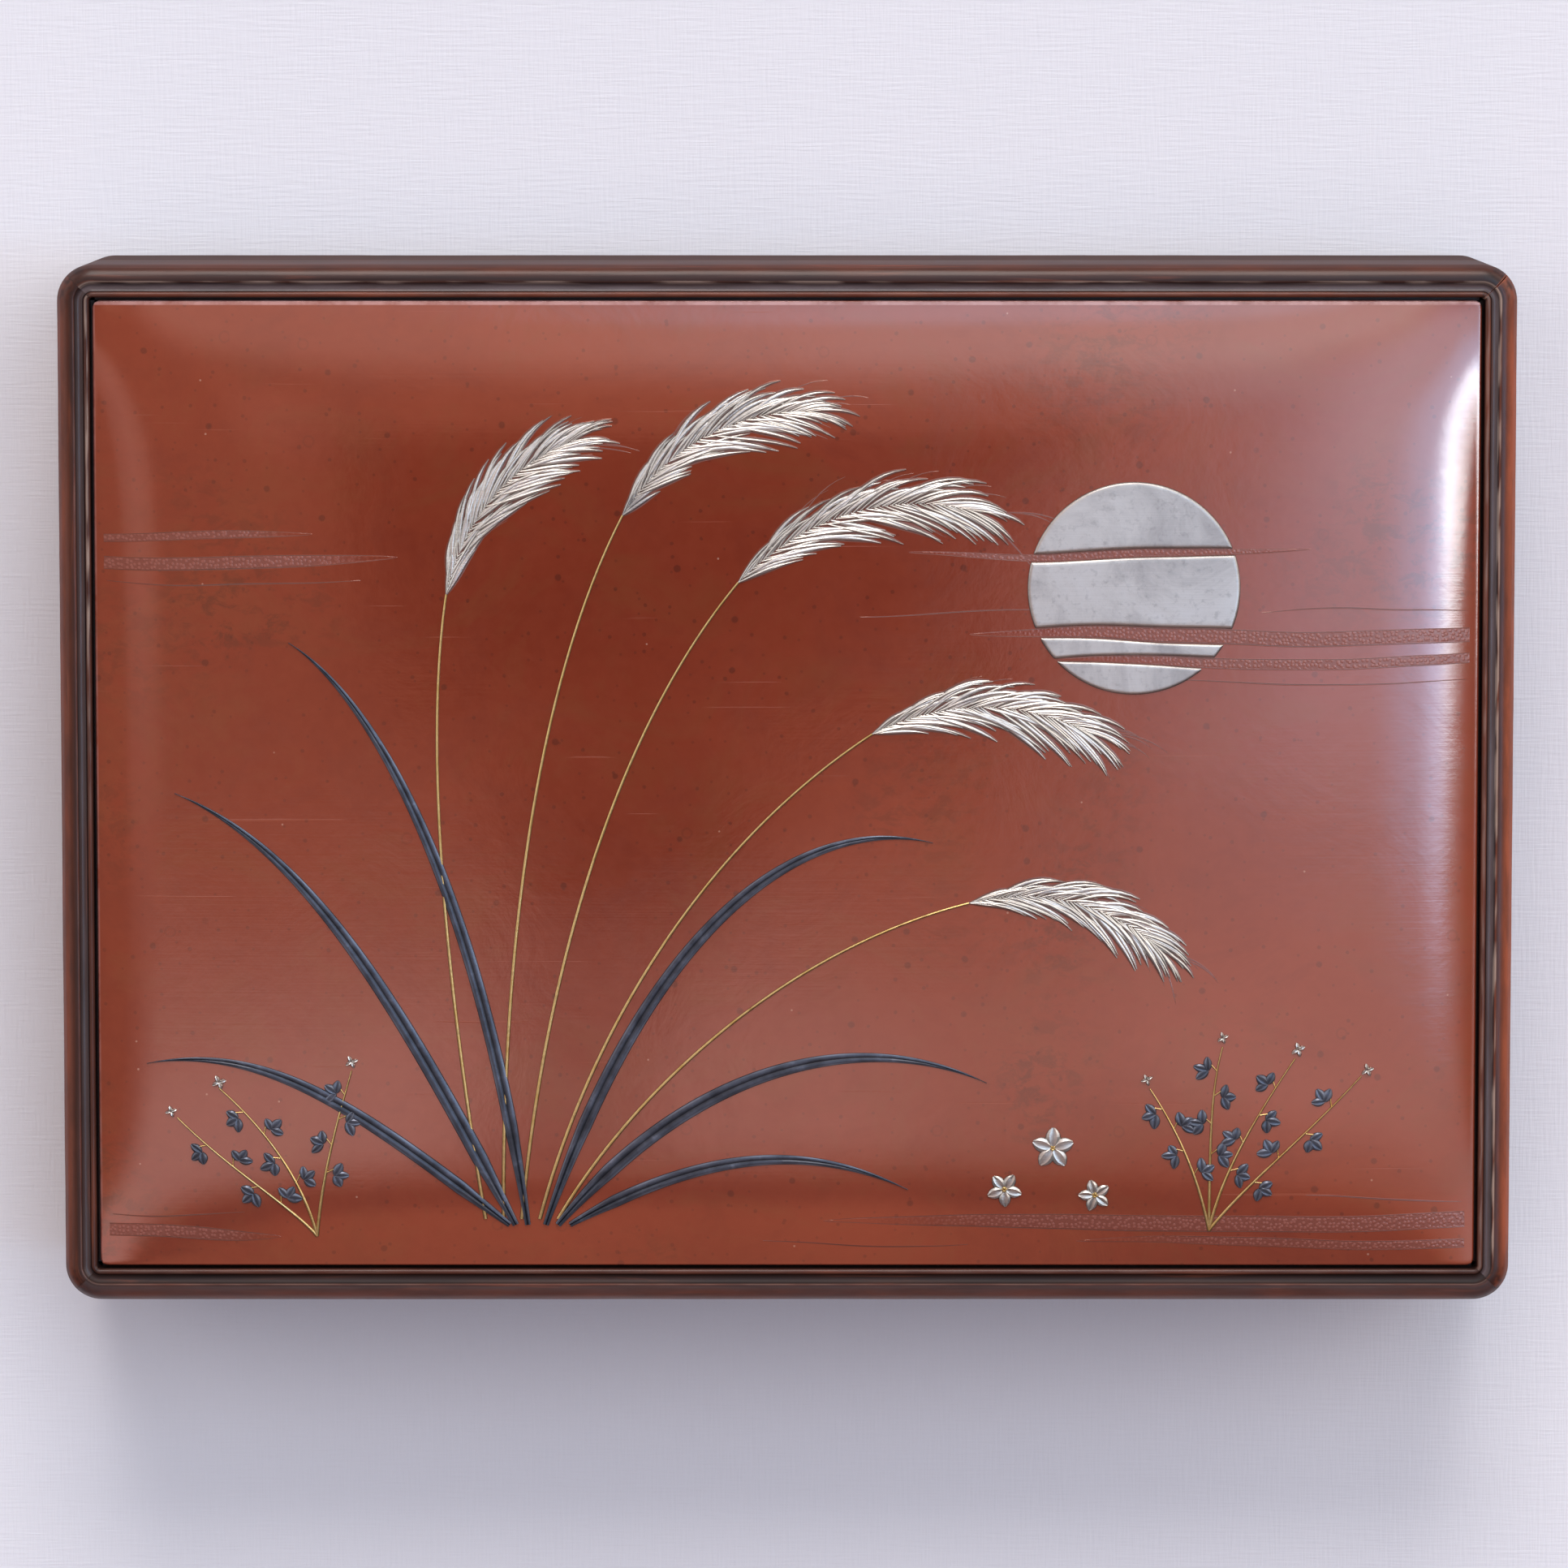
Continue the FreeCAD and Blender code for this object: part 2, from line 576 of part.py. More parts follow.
def column(rings):
    """Upright prisms on the outlines, joined where they cross."""
    parts = []
    for ring in rings:
        pts = [V(x, y, EDGE - 2) for x, y in ring]
        parts.append(Part.Face(Part.makePolygon(pts + [pts[0]])).extrude(V(0, 0, 12)))
    return parts[0] if len(parts) == 1 else parts[0].multiFuse(parts[1:])


laid = None
for label in ("inlay_moon", "inlay_flowers", "inlay_plumes", "inlay_clover", "inlay_leaves", "inlay_stems"):
    raw = column(INLAY[label])
    own = raw if laid is None else raw.cut(laid)
    laid = raw if laid is None else laid.fuse(raw)
    outline_feature = feature(label + "_outlines", own)
    piece = doc.addObject("Part::Common", label)
    piece.Label = label
    piece.Base, piece.Tool = skin, outline_feature
    nodes.append(piece)
doc.recompute()

# ---------------------------------------------------------------- backing board and its nails
body = new_body("lid_backing_board")
back_z = D("seat_level") - D("tongue_thick") - D("backing_thick")
sk = sketch_on(body, "backing_plan", at=(0, 0, back_z))
bi = D("backing_in")
outline(sk, rect(-(L / 2 - bi), -(W / 2 - bi), L / 2 - bi, W / 2 - bi))
pad(body, sk, D("backing_thick"))
pin_u = (D("lid_wall") + D("tongue_in")) / 2


def pin_centres():
    out = []
    for sx, sy in ((1, 1), (1, -1), (-1, 1), (-1, -1)):
        out.append(((L / 2 - 45) * sx, (W / 2 - pin_u) * sy))
        out.append(((L / 2 - pin_u) * sx, (W / 2 - 40) * sy))
    for s in (1, -1):
        out.append((num(0), (W / 2 - pin_u) * s))
    return out


doc.recompute()
before = body.Shape.Volume
hs = sketch_on(body, "backing_holes", at=(0, 0, back_z + D("backing_thick")))
for x, y in pin_centres():
    circle(hs, x, y, D("pin_rad"))
pocket(body, hs, D("backing_thick"))
cut_check(body, before, "pin holes")
for name, length, where, turn in SIDES:
    w = doc.getObject("lid_rail_" + name)
    before = w.Shape.Volume
    hs = sketch_on(w, "rail_%s_pin_holes" % name, at=(0, 0, D("seat_level") - 0.4))
    spots = [(length / 2 - (45 if name in ("front", "back") else 40)) * s for s in (1, -1)]
    if name in ("front", "back"):
        spots.append(num(0))
    for x in spots:
        circle(hs, x, pin_u, D("pin_rad"))
    pocket(w, hs, D("tongue_thick") - 0.4)
    cut_check(w, before, "pin holes")
body = new_body("lid_backing_pins")
sk = sketch_on(body, "pins_plan", at=(0, 0, back_z))
for x, y in pin_centres():
    circle(sk, x, y, D("pin_rad"))
pad(body, sk, D("backing_thick") + D("tongue_thick") - 0.4)
heads = sketch_on(body, "pin_heads", at=(0, 0, back_z))
for x, y in pin_centres():
    circle(heads, x, y, D("pin_rad") * 2)
pad(body, heads, 0.5, reverse=True)

# ---------------------------------------------------------------- fitted board
floor_z = D("rabbet_top")
ins_top = floor_z + D("insert_thick")
body = new_body("insert_board")
sk = sketch_on(body, "insert_plan", at=(0, 0, floor_z))
outline(sk, round_rect(0, 0, D("insert_length"), D("insert_depth"), D("insert_rad")))
pad(body, sk, D("insert_thick"))
doc.recompute()
gap = D("seat_gap") * 2


def seat_cut(name, points, deep):
    before = body.Shape.Volume
    s = sketch_on(body, name, at=(0, 0, ins_top))
    outline(s, points)
    pocket(body, s, deep)
    cut_check(body, before, name)


seat_cut("stone_seat_cut", round_rect(D("stone_mid_x"), D("stone_mid_y"), D("stone_length") + gap,
                                      D("stone_width") + gap, num(2.5)), D("stone_seat"))
seat_cut("dropper_seat_cut", round_rect(D("dropper_mid_x"), D("dropper_mid_y"), D("dropper_side") + gap,
                                        D("dropper_side") + gap, D("dropper_rad") + 0.5), D("dropper_seat"))
seat_cut("ink_seat_cut", round_rect(D("ink_mid_x"), D("ink_mid_y"), D("ink_length") + gap,
                                    D("ink_width") + gap, num(1.5)), D("ink_seat"))
seat_cut("trough_cut", round_rect(0, D("trough_mid_y"), D("trough_length"), D("trough_width"), D("trough_rad")),
         D("trough_deep"))
# finger ways: between stone and dropper, and from the ink slot down to the trough
fx0 = D("stone_mid_x") + D("stone_length") / 2
fx1 = D("dropper_mid_x") - D("dropper_side") / 2
seat_cut("finger_way_stone", rect(fx0 - 1, D("dropper_mid_y") - 12, fx1 + 1, D("dropper_mid_y") + 12),
         D("dropper_seat"))
fy0 = D("trough_mid_y") + D("trough_width") / 2
fy1 = D("ink_mid_y") - D("ink_width") / 2
seat_cut("finger_way_ink", rect(D("ink_mid_x") - 9, fy0 - 1, D("ink_mid_x") + 9, fy1 + 1), D("ink_seat"))
# lift notches at both ends, through the board
half = D("insert_length") / 2
before = body.Shape.Volume
s = sketch_on(body, "lift_notches", at=(0, 0, ins_top))
for sgn in (1, -1):
    if sgn > 0:
        outline(s, [(half + 1, num(-32)), (half + 1, num(-18)), (half - 4, num(-18), num(3)), (half - 7, num(-21)),
                    (half - 7, num(-29), num(3)), (half - 4, num(-32))])
    else:
        outline(s, [(-(half + 1), num(-32)), (-(half - 4), num(-32), num(3)), (-(half - 7), num(-29)),
                    (-(half - 7), num(-21), num(3)), (-(half - 4), num(-18)), (-(half + 1), num(-18))])
pocket(body, s, D("insert_thick"))
cut_check(body, before, "lift notches")
zt = ins_top.value
dress(body, "Chamfer", 0.4, lambda e: flat_at(zt)(e) and e.Length > 9.0)

# ---------------------------------------------------------------- brush rests
trough_floor = ins_top - D("trough_deep")
for tag in ("left", "right"):
    body = new_body("brush_rest_" + tag)
    sk = sketch_on(body, "rest_%s_side" % tag, "YZ_Plane")
    y0 = D("trough_mid_y") - D("trough_width") / 2 + 0.2
    y1 = D("trough_mid_y") + D("trough_width") / 2 - 0.2
    ax, rt = D("brush_axis"), D("rest_top")

    def notch(yc, r):
        # where the round notch meets the flat top of the rest
        dz = ax.value - rt.value
        reach = math.sqrt(r.value ** 2 - dz ** 2)
        return yc - reach, yc + reach

    big_r, small_r = D("big_rad") + 0.3, D("small_rad") + 0.3
    b0, b1 = notch(D("big_y"), big_r)
    s0, s1 = notch(D("small_y"), small_r)
    outline(sk, [(y0, trough_floor), (y1, trough_floor), (y1, rt - 1.2, num(1.2)), (y1 - 1.2, rt),
                 (s1, rt, -small_r), (s0, rt), (b1, rt, -big_r), (b0, rt), (y0 + 1.2, rt, num(1.2)), (y0, rt - 1.2)])
    pad(body, sk, D("rest_wide"), midplane=True)
    place(body, D("rest_%s_x" % tag), 0, 0)

# ---------------------------------------------------------------- inkstone
body = new_body("inkstone")
sl, sw, st = D("stone_length"), D("stone_width"), D("stone_thick")
sk = sketch_on(body, "stone_plan")
outline(sk, round_rect(0, 0, sl, sw, num(3)))
pad(body, sk, st)
doc.recompute()
before = body.Shape.Volume
s = sketch_on(body, "stone_field", at=(0, 0, st))
outline(s, round_rect(0, 0, sl - 11, sw - 11, num(5)))
pocket(body, s, 1.6)
cut_check(body, before, "grinding field")
before = body.Shape.Volume
s = sketch_on(body, "stone_well", "XZ_Plane")  # the well and the slope up to the grinding field, seen from the side
x0 = -(sl / 2 - 7)
outline(s, [(x0, st - 1.0), (x0, st - 7.0, num(2)), (x0 + 2, st - 9.0), (x0 + 16, st - 9.0), (x0 + 40, st - 1.6),
            (x0 + 40, st - 1.0)])
f = pocket(body, s, sw - 15)
f.Midplane = True
cut_check(body, before, "ink well")
zs = st.value
dress(body, "Fillet", 0.9, lambda e: flat_at(zs)(e) and e.BoundBox.XLength + e.BoundBox.YLength > 2.0)
place(body, D("stone_mid_x"), D("stone_mid_y"), ins_top - D("stone_seat"))

# ---------------------------------------------------------------- water dropper
body = new_body("dropper_cup")
ds, dr, dw = D("dropper_side"), D("dropper_rad"), D("dropper_wall")
sk = sketch_on(body, "cup_plan")
outline(sk, round_rect(0, 0, ds, ds, dr))
pad(body, sk, D("dropper_high"))
doc.recompute()
before = body.Shape.Volume
s = sketch_on(body, "cup_hollow", at=(0, 0, D("dropper_high")))
outline(s, round_rect(0, 0, ds - dw * 2, ds - dw * 2, dr - dw))
pocket(body, s, D("dropper_high") - dw)
cut_check(body, before, "cup hollow")
dress(body, "Fillet", 0.8, flat_at(0.0))
place(body, D("dropper_mid_x"), D("dropper_mid_y"), ins_top - D("dropper_seat"))

body = new_body("dropper_cover")
sk = sketch_on(body, "cover_plan", at=(0, 0, D("dropper_high")))
outline(sk, round_rect(0, 0, ds, ds, dr))
pad(body, sk, D("cover_thick"))
lip = sketch_on(body, "cover_lip", at=(0, 0, D("dropper_high")))
outline(lip, round_rect(0, 0, ds - dw * 2 - 0.3, ds - dw * 2 - 0.3, dr - dw - 0.15))
outline(lip, round_rect(0, 0, ds - dw * 2 - 2.3, ds - dw * 2 - 2.3, dr - dw - 1.15))
pad(body, lip, 1.5, reverse=True)
boss = sketch_on(body, "cover_bosses", at=(0, 0, D("dropper_high") + D("cover_thick")))
circle(boss, 0, 0, 4.0)
circle(boss, ds / 2 - 9, ds / 2 - 9, 2.6)
pad(body, boss, 1.6)
doc.recompute()
before = body.Shape.Volume
s = sketch_on(body, "cover_holes", at=(0, 0, D("dropper_high") + D("cover_thick") + 1.6))
circle(s, 0, 0, 1.0)
circle(s, ds / 2 - 9, ds / 2 - 9, 1.1)
pocket(body, s, D("cover_thick") + 1.6)
cut_check(body, before, "water holes")
z_boss = (D("dropper_high") + D("cover_thick")).value + 1.6
z_cov = (D("dropper_high") + D("cover_thick")).value
dress(body, "Fillet", 0.5, lambda e: (flat_at(z_boss)(e) and e.BoundBox.XLength > 4.0)
      or (flat_at(z_cov)(e) and (e.BoundBox.XLength > 20 or e.BoundBox.YLength > 20
                                 or abs(abs(e.BoundBox.Center.x) + abs(e.BoundBox.Center.y) - 48) < 3)))
place(body, D("dropper_mid_x"), D("dropper_mid_y"), ins_top - D("dropper_seat"))

# ---------------------------------------------------------------- ink stick
body = new_body("ink_stick")
sk = sketch_on(body, "ink_plan")
outline(sk, rect(-(D("ink_length") / 2), -(D("ink_width") / 2), D("ink_length") / 2, D("ink_width") / 2))
pad(body, sk, D("ink_thick"))
doc.recompute()
before = body.Shape.Volume
s = sketch_on(body, "ink_panel", at=(0, 0, D("ink_thick")))
outline(s, round_rect(0, 0, D("ink_length") - 7, D("ink_width") - 5, num(1.5)))
pocket(body, s, 0.4)
cut_check(body, before, "ink panel")
before = body.Shape.Volume
s = sketch_on(body, "ink_worn_end", "XZ_Plane")  # the end that has been rubbed on the stone
hx, hz = D("ink_length") / 2, D("ink_thick")
outline(s, [(hx - 2.2, hz + 1), (hx + 1, hz + 1), (hx + 1, num(1.5)), (hx, num(1.5))])
f = pocket(body, s, D("ink_width") + 2)
f.Midplane = True
cut_check(body, before, "worn end")
dress(body, "Chamfer", 0.6, lambda e: flat_at(0.0)(e) or (e.BoundBox.ZLength > 8 and e.BoundBox.Center.x < -25)
      or (flat_at(hz.value)(e) and (abs(e.BoundBox.Center.y) > 7.3 or e.BoundBox.Center.x < -29.5)))
place(body, D("ink_mid_x"), D("ink_mid_y"), ins_top - D("ink_seat"))

# ---------------------------------------------------------------- brushes, turned round their own axis along X
for tag in ("big", "small"):
    word = {"big": "large", "small": "small"}[tag]
    r, butt, hl, hair = [D(tag + k) for k in ("_rad", "_butt", "_handle", "_hair")]
    cr, cb, cl, co = [D(tag + k) for k in ("_cap_rad", "_cap_bore", "_cap_long", "_cap_over")]

    def turned(label, points):
        b = new_body(label)
        s = sketch_on(b, label + "_half", "XZ_Plane")
        outline(s, points)
        revolve(b, s, 360.0, axis="H_Axis")
        place(b, butt, D(tag + "_y"), D("brush_axis"))
        return b

    # local x = 0 at the butt; the brush runs to -x
    turned("brush_%s_handle" % word, [
        (-hl, num(0)), (num(0), num(0)), (num(0), r - 1.2, num(1.2)), (num(-1.2), r), (-(hl - 0.5), r), (-hl, r - 0.5)])
    turned("brush_%s_hair" % word, [
        (-hl, num(0)), (-hl, r - 0.6), (-(hl + hair * 0.35), r - 0.35), (-(hl + hair * 0.72), r * 0.55),
        (-(hl + hair), num(0))])
    mouth = hl - co
    turned("brush_%s_cap" % word, [
        (-(mouth + cl), num(0)), (-(mouth + cl), cr - 1.0), (-(mouth + cl - 1.0), cr), (-mouth, cr), (-mouth, cb),
        (-(mouth + cl - 2.2), cb), (-(mouth + cl - 2.2), num(0))])

# ---------------------------------------------------------------- check and write
doc.recompute()
for obj in doc.Objects:
    if "Invalid" in obj.State or "Error" in obj.State:
        raise RuntimeError("%s failed: %s" % (obj.Name, obj.State))
os.makedirs("parts", exist_ok=True)
for obj in nodes:
    shape = obj.Shape
    if shape.isNull() or not shape.isValid():
        raise RuntimeError(obj.Label + " has no valid shape")
    if not shape.Solids or any(s.Volume <= 0 for s in shape.Solids):
        raise RuntimeError(obj.Label + " has no solid")
    shape.exportStep("parts/%s.step" % obj.Label)
    bb = shape.optimalBoundingBox()
    print("%-22s solids %2d  vol %9.1f  x %7.1f..%6.1f  y %7.1f..%6.1f  z %6.2f..%6.2f" % (
        obj.Label, len(shape.Solids), shape.Volume, bb.XMin, bb.XMax, bb.YMin, bb.YMax, bb.ZMin, bb.ZMax))
print(len(nodes), "nodes")
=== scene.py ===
"""Looks of the writing box: moulded lacquered frame, patinated copper plate with raised inlay, fitted tray.

Everything is worked out in millimetres, in the frame of the CAD, and written to the meshes in metres.
"""

import bpy
import math
import random
from mathutils import Matrix, Vector, noise


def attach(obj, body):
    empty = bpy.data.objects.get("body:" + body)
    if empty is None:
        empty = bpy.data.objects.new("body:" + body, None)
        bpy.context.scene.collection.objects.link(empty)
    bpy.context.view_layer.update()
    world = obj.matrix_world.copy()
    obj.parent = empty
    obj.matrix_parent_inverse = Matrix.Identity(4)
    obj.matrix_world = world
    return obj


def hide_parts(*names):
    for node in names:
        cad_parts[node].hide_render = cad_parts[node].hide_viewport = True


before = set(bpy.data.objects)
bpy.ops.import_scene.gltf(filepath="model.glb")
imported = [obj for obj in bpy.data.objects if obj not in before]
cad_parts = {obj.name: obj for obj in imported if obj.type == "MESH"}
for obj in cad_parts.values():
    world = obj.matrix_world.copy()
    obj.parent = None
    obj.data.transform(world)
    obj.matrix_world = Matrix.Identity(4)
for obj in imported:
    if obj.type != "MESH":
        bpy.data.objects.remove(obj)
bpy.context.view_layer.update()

MM = 0.001
L, W, R = 240.0, 172.0, 6.0          # plan of the box and radius of its corners
LINE, RAIL_TOP, SEAT = 27.0, 50.0, 45.4
PLATE_X, PLATE_Y = 114.1, 80.1       # half sizes of the copper plate
PLATE_EDGE, PLATE_THICK = 48.8, 1.2
scene = bpy.context.scene


# ------------------------------------------------------------------ camera
TARGET = Vector((-0.00051, 0.00032, 0.0490))
TILT = math.radians(5.776)
DIST = 1.300
cam_data = bpy.data.cameras.new("camera")
cam_data.sensor_width = 36.0
cam_data.lens = 180.71
cam_data.clip_start, cam_data.clip_end = 0.05, 20.0
cam = bpy.data.objects.new("camera", cam_data)
cam.location = TARGET + Vector((0.0, math.sin(TILT), math.cos(TILT))) * DIST
back = (cam.location - TARGET).normalized()
right = Vector((1.0, 0.0, 0.0))
up = back.cross(right)
cam.rotation_euler = Matrix((right, up, back)).transposed().to_euler()
scene.collection.objects.link(cam)
scene.camera = cam
scene.view_settings.view_transform = "Standard"


# ------------------------------------------------------------------ node helper
class Nodes:
    """Small helper that adds and joins nodes in a node tree."""

    def __init__(self, tree):
        self.nt = tree
        self.nt.nodes.clear()

    def add(self, kind, **props):
        n = self.nt.nodes.new("ShaderNode" + kind)
        for k, v in props.items():
            setattr(n, k, v)
        return n

    def put(self, socket, value):
        if isinstance(value, bpy.types.NodeSocket):
            self.nt.links.new(value, socket)
        elif isinstance(value, (tuple, list)) and len(value) == 3 and socket.type == "RGBA":
            socket.default_value = (*value, 1.0)
        else:
            socket.default_value = value

    def math(self, op, a, b=0.0, clamp=False):
        n = self.add("Math", operation=op, use_clamp=clamp)
        self.put(n.inputs[0], a)
        self.put(n.inputs[1], b)
        return n.outputs[0]

    def step(self, x, a, b, start=0.0, end=1.0):
        """Smooth step of x from start to end between a and b."""
        n = self.add("MapRange", interpolation_type="SMOOTHSTEP", clamp=True)
        self.put(n.inputs["Value"], x)
        for key, v in (("From Min", a), ("From Max", b), ("To Min", start), ("To Max", end)):
            n.inputs[key].default_value = v
        return n.outputs["Result"]

    def band(self, x, a0, a1, b0, b1):
        return self.math("MULTIPLY", self.step(x, a0, a1), self.step(x, b0, b1, 1.0, 0.0))

    def product(self, *terms):
        out = terms[0]
        for t in terms[1:]:
            out = self.math("MULTIPLY", out, t)
        return out


class Mat(Nodes):
    """A node material around one Principled shader."""

    def __init__(self, name, **inputs):
        self.mat = bpy.data.materials.new(name)
        self.mat.use_nodes = True
        super().__init__(self.mat.node_tree)
        self.out = self.add("OutputMaterial")
        self.bsdf = self.add("BsdfPrincipled")
        self.nt.links.new(self.bsdf.outputs[0], self.out.inputs[0])
        for key, value in inputs.items():
            self.bsdf.inputs[key.replace("_", " ")].default_value = value

    def set(self, key, value):
        self.put(self.bsdf.inputs[key], value)

    def obj(self):
        return self.add("TexCoord").outputs["Object"]

    def attr(self, name, kind="Fac"):
        return self.add("Attribute", attribute_name=name).outputs[kind]

    def mapped(self, vec, scale=(1, 1, 1), turn=(0, 0, 0), move=(0, 0, 0)):
        n = self.add("Mapping")
        self.put(n.inputs["Vector"], vec)
        n.inputs["Scale"].default_value = scale
        n.inputs["Rotation"].default_value = turn
        n.inputs["Location"].default_value = move
        return n.outputs[0]

    def noise(self, vec, scale, detail=2.0, rough=0.5, warp=0.0):
        n = self.add("TexNoise")
        self.put(n.inputs["Vector"], vec)
        n.inputs["Scale"].default_value = scale
        n.inputs["Detail"].default_value = detail
        n.inputs["Roughness"].default_value = rough
        n.inputs["Distortion"].default_value = warp
        return n.outputs["Fac"]

    def voronoi(self, vec, scale, feature="F1", jitter=1.0):
        n = self.add("TexVoronoi", feature=feature, voronoi_dimensions="2D")
        self.put(n.inputs["Vector"], vec)
        n.inputs["Scale"].default_value = scale
        n.inputs["Randomness"].default_value = jitter
        return n

    def ramp(self, fac, stops, mode="LINEAR"):
        n = self.add("ValToRGB")
        n.color_ramp.interpolation = mode
        self.put(n.inputs[0], fac)
        el = n.color_ramp.elements
        while len(el) < len(stops):
            el.new(0.5)
        for e, (at, col) in zip(el, stops):
            e.position = at
            e.color = (*col, 1.0) if isinstance(col, (tuple, list)) else (col, col, col, 1.0)
        return n.outputs[0]

    def mix(self, fac, a, b, mode="MIX"):
        n = self.add("Mix", data_type="RGBA", blend_type=mode)
        self.put(n.inputs[0], fac)
        self.put(n.inputs[6], a)
        self.put(n.inputs[7], b)
        return n.outputs[2]

    def bump(self, height, depth, normal=None, strength=1.0):
        n = self.add("Bump")
        n.inputs["Strength"].default_value = strength
        n.inputs["Distance"].default_value = depth
        self.put(n.inputs["Height"], height)
        if normal is not None:
            self.put(n.inputs["Normal"], normal)
        return n.outputs[0]


# ------------------------------------------------------------------ light: a soft room with windows on two sides
def make_room():
    """Sky of a plain studio room, by direction: sx and sy are the slopes of a direction from straight up."""
    world = bpy.data.worlds.new("studio")
    world.use_nodes = True
    scene.world = world
    n = Nodes(world.node_tree)
    out = n.add("OutputWorld")
    bg = n.add("Background")
    n.put(out.inputs[0], bg.outputs[0])
    xyz = n.add("SeparateXYZ")
    n.put(xyz.inputs[0], n.add("TexCoord").outputs["Generated"])
    z = n.math("MAXIMUM", xyz.outputs[2], 0.02)
    sx, sy = n.math("DIVIDE", xyz.outputs[0], z), n.math("DIVIDE", xyz.outputs[1], z)
    total = None

    def glow(colour, *masks):
        nonlocal total
        v = n.add("VectorMath", operation="SCALE")
        v.inputs[0].default_value = colour
        n.put(v.inputs["Scale"], n.product(*masks))
        if total is None:
            total = v.outputs[0]
        else:
            a = n.add("VectorMath", operation="ADD")
            n.put(a.inputs[0], total)
            n.put(a.inputs[1], v.outputs[0])
            total = a.outputs[0]

    def down(x, a, b):
        return n.step(x, a, b, 1.0, 0.0)

    near = n.band(sx, -1.1, -0.7, 0.9, 1.4)
    glow((0.12, 0.12, 0.14), n.step(sx, -90.0, -80.0))
    glow((0.34, 0.14, 0.06), n.step(sy, -0.44, -0.34, 0.20, 1.0), near, down(sy, 0.5, 0.7))
    glow((0.50, 0.20, 0.11), down(sy, -0.52, -0.42), n.band(sx, -0.16, -0.08, 0.03, 0.07))
    glow((0.72, 0.82, 0.94), n.band(sy, -0.40, -0.27, -0.19, -0.10), n.step(sx, -0.01, 0.06, 1.0, 0.36),
         n.band(sx, -0.47, -0.34, 0.3, 0.6))
    glow((0.09, 0.09, 0.11), n.band(sx, -0.52, -0.48, -0.43, -0.38), n.band(sy, -0.6, -0.4, 0.1, 0.3))
    glow((0.18, 0.17, 0.17), n.band(sx, -0.53, -0.49, -0.375, -0.335), n.band(sy, -0.13, -0.08, 0.015, 0.045))
    glow((0.17, 0.16, 0.16), n.band(sx, -0.46, -0.42, -0.375, -0.335), n.band(sy, -0.11, -0.06, 0.015, 0.045))
    glow((0.32, 0.20, 0.17), n.band(sx, -0.17, -0.12, -0.092, -0.078), n.band(sy, 0.01, 0.04, 0.10, 0.17))
    glow((0.34, 0.42, 0.52), n.step(sx, 0.03, 0.075), n.band(sy, -0.28, -0.18, 0.6, 0.8), down(sx, 0.54, 0.66))
    glow((0.38, 0.75, 1.00), n.step(sx, 0.07, 0.22), n.band(sy, -0.16, 0.02, 0.6, 0.8), down(sx, 0.55, 0.75))
    glow((0.38, 0.66, 1.15), n.step(sx, 0.05, 0.14), n.band(sy, -0.140, -0.070, 0.14, 0.26), down(sx, 0.52, 0.64))
    glow((0.16, 0.50, 0.72), n.band(sx, 0.02, 0.06, 0.08, 0.12), n.band(sy, 0.07, 0.15, 0.22, 0.34))
    glow((0.52, 0.50, 0.50), n.step(sy, 0.12, 0.30), down(sy, 0.55, 0.75), n.band(sx, -0.9, -0.5, 0.8, 1.2))
    glow((0.25, 0.70, 1.00), n.step(sy, 0.14, 0.34), n.step(sx, -0.05, 0.03), down(sy, 0.55, 0.75), down(sx, 0.14, 0.40))
    glow((0.10, 0.50, 1.00), n.step(sy, 0.40, 0.48), down(sy, 0.75, 0.95), n.band(sx, -0.05, 0.0, 0.07, 0.12))
    # east window with its curtain, seen over a low wall: its three slanting sides
    low = n.math("MAXIMUM", n.math("MULTIPLY", sy, -1.0), 0.0)
    side_a = n.math("SUBTRACT", sx, low)
    side_b = n.math("SUBTRACT", sx, n.math("MULTIPLY", low, 2.4))
    side_c = n.math("ADD", sx, n.math("MULTIPLY", low, 4.0))
    glow((0.32, 1.15, 2.25), n.step(sx, 0.22, 0.36), down(sx, 0.45, 0.54), n.band(sy, -0.135, -0.100, 0.03, 0.08))
    glow((1.20, 2.40, 4.10), n.step(sx, 0.355, 0.465), n.math("MULTIPLY", down(side_b, 0.43, 0.53), down(sx, 0.47, 0.56)),
         n.band(sy, -0.150, -0.108, 0.01, 0.04))
    glow((5.4, 9.0, 10.6), n.step(side_a, 0.384, 0.420), down(side_b, 0.425, 0.47), down(side_c, 0.88, 0.94),
         n.band(sy, -0.114, -0.072, -0.004, 0.010))
    glow((2.05, 1.95, 1.85), n.band(sx, 0.80, 1.10, 6.0, 12.0), n.band(sy, -0.1, 0.3, 3.0, 6.0))
    glow((8.6, 8.1, 7.8), n.band(sx, -0.42, -0.30, 0.30, 0.42), n.band(sy, 0.80, 0.96, 2.2, 3.0))
    glow((1.10, 1.12, 1.14), down(sx, -1.4, -0.8), n.band(sy, -0.6, -0.1, 4.0, 8.0))
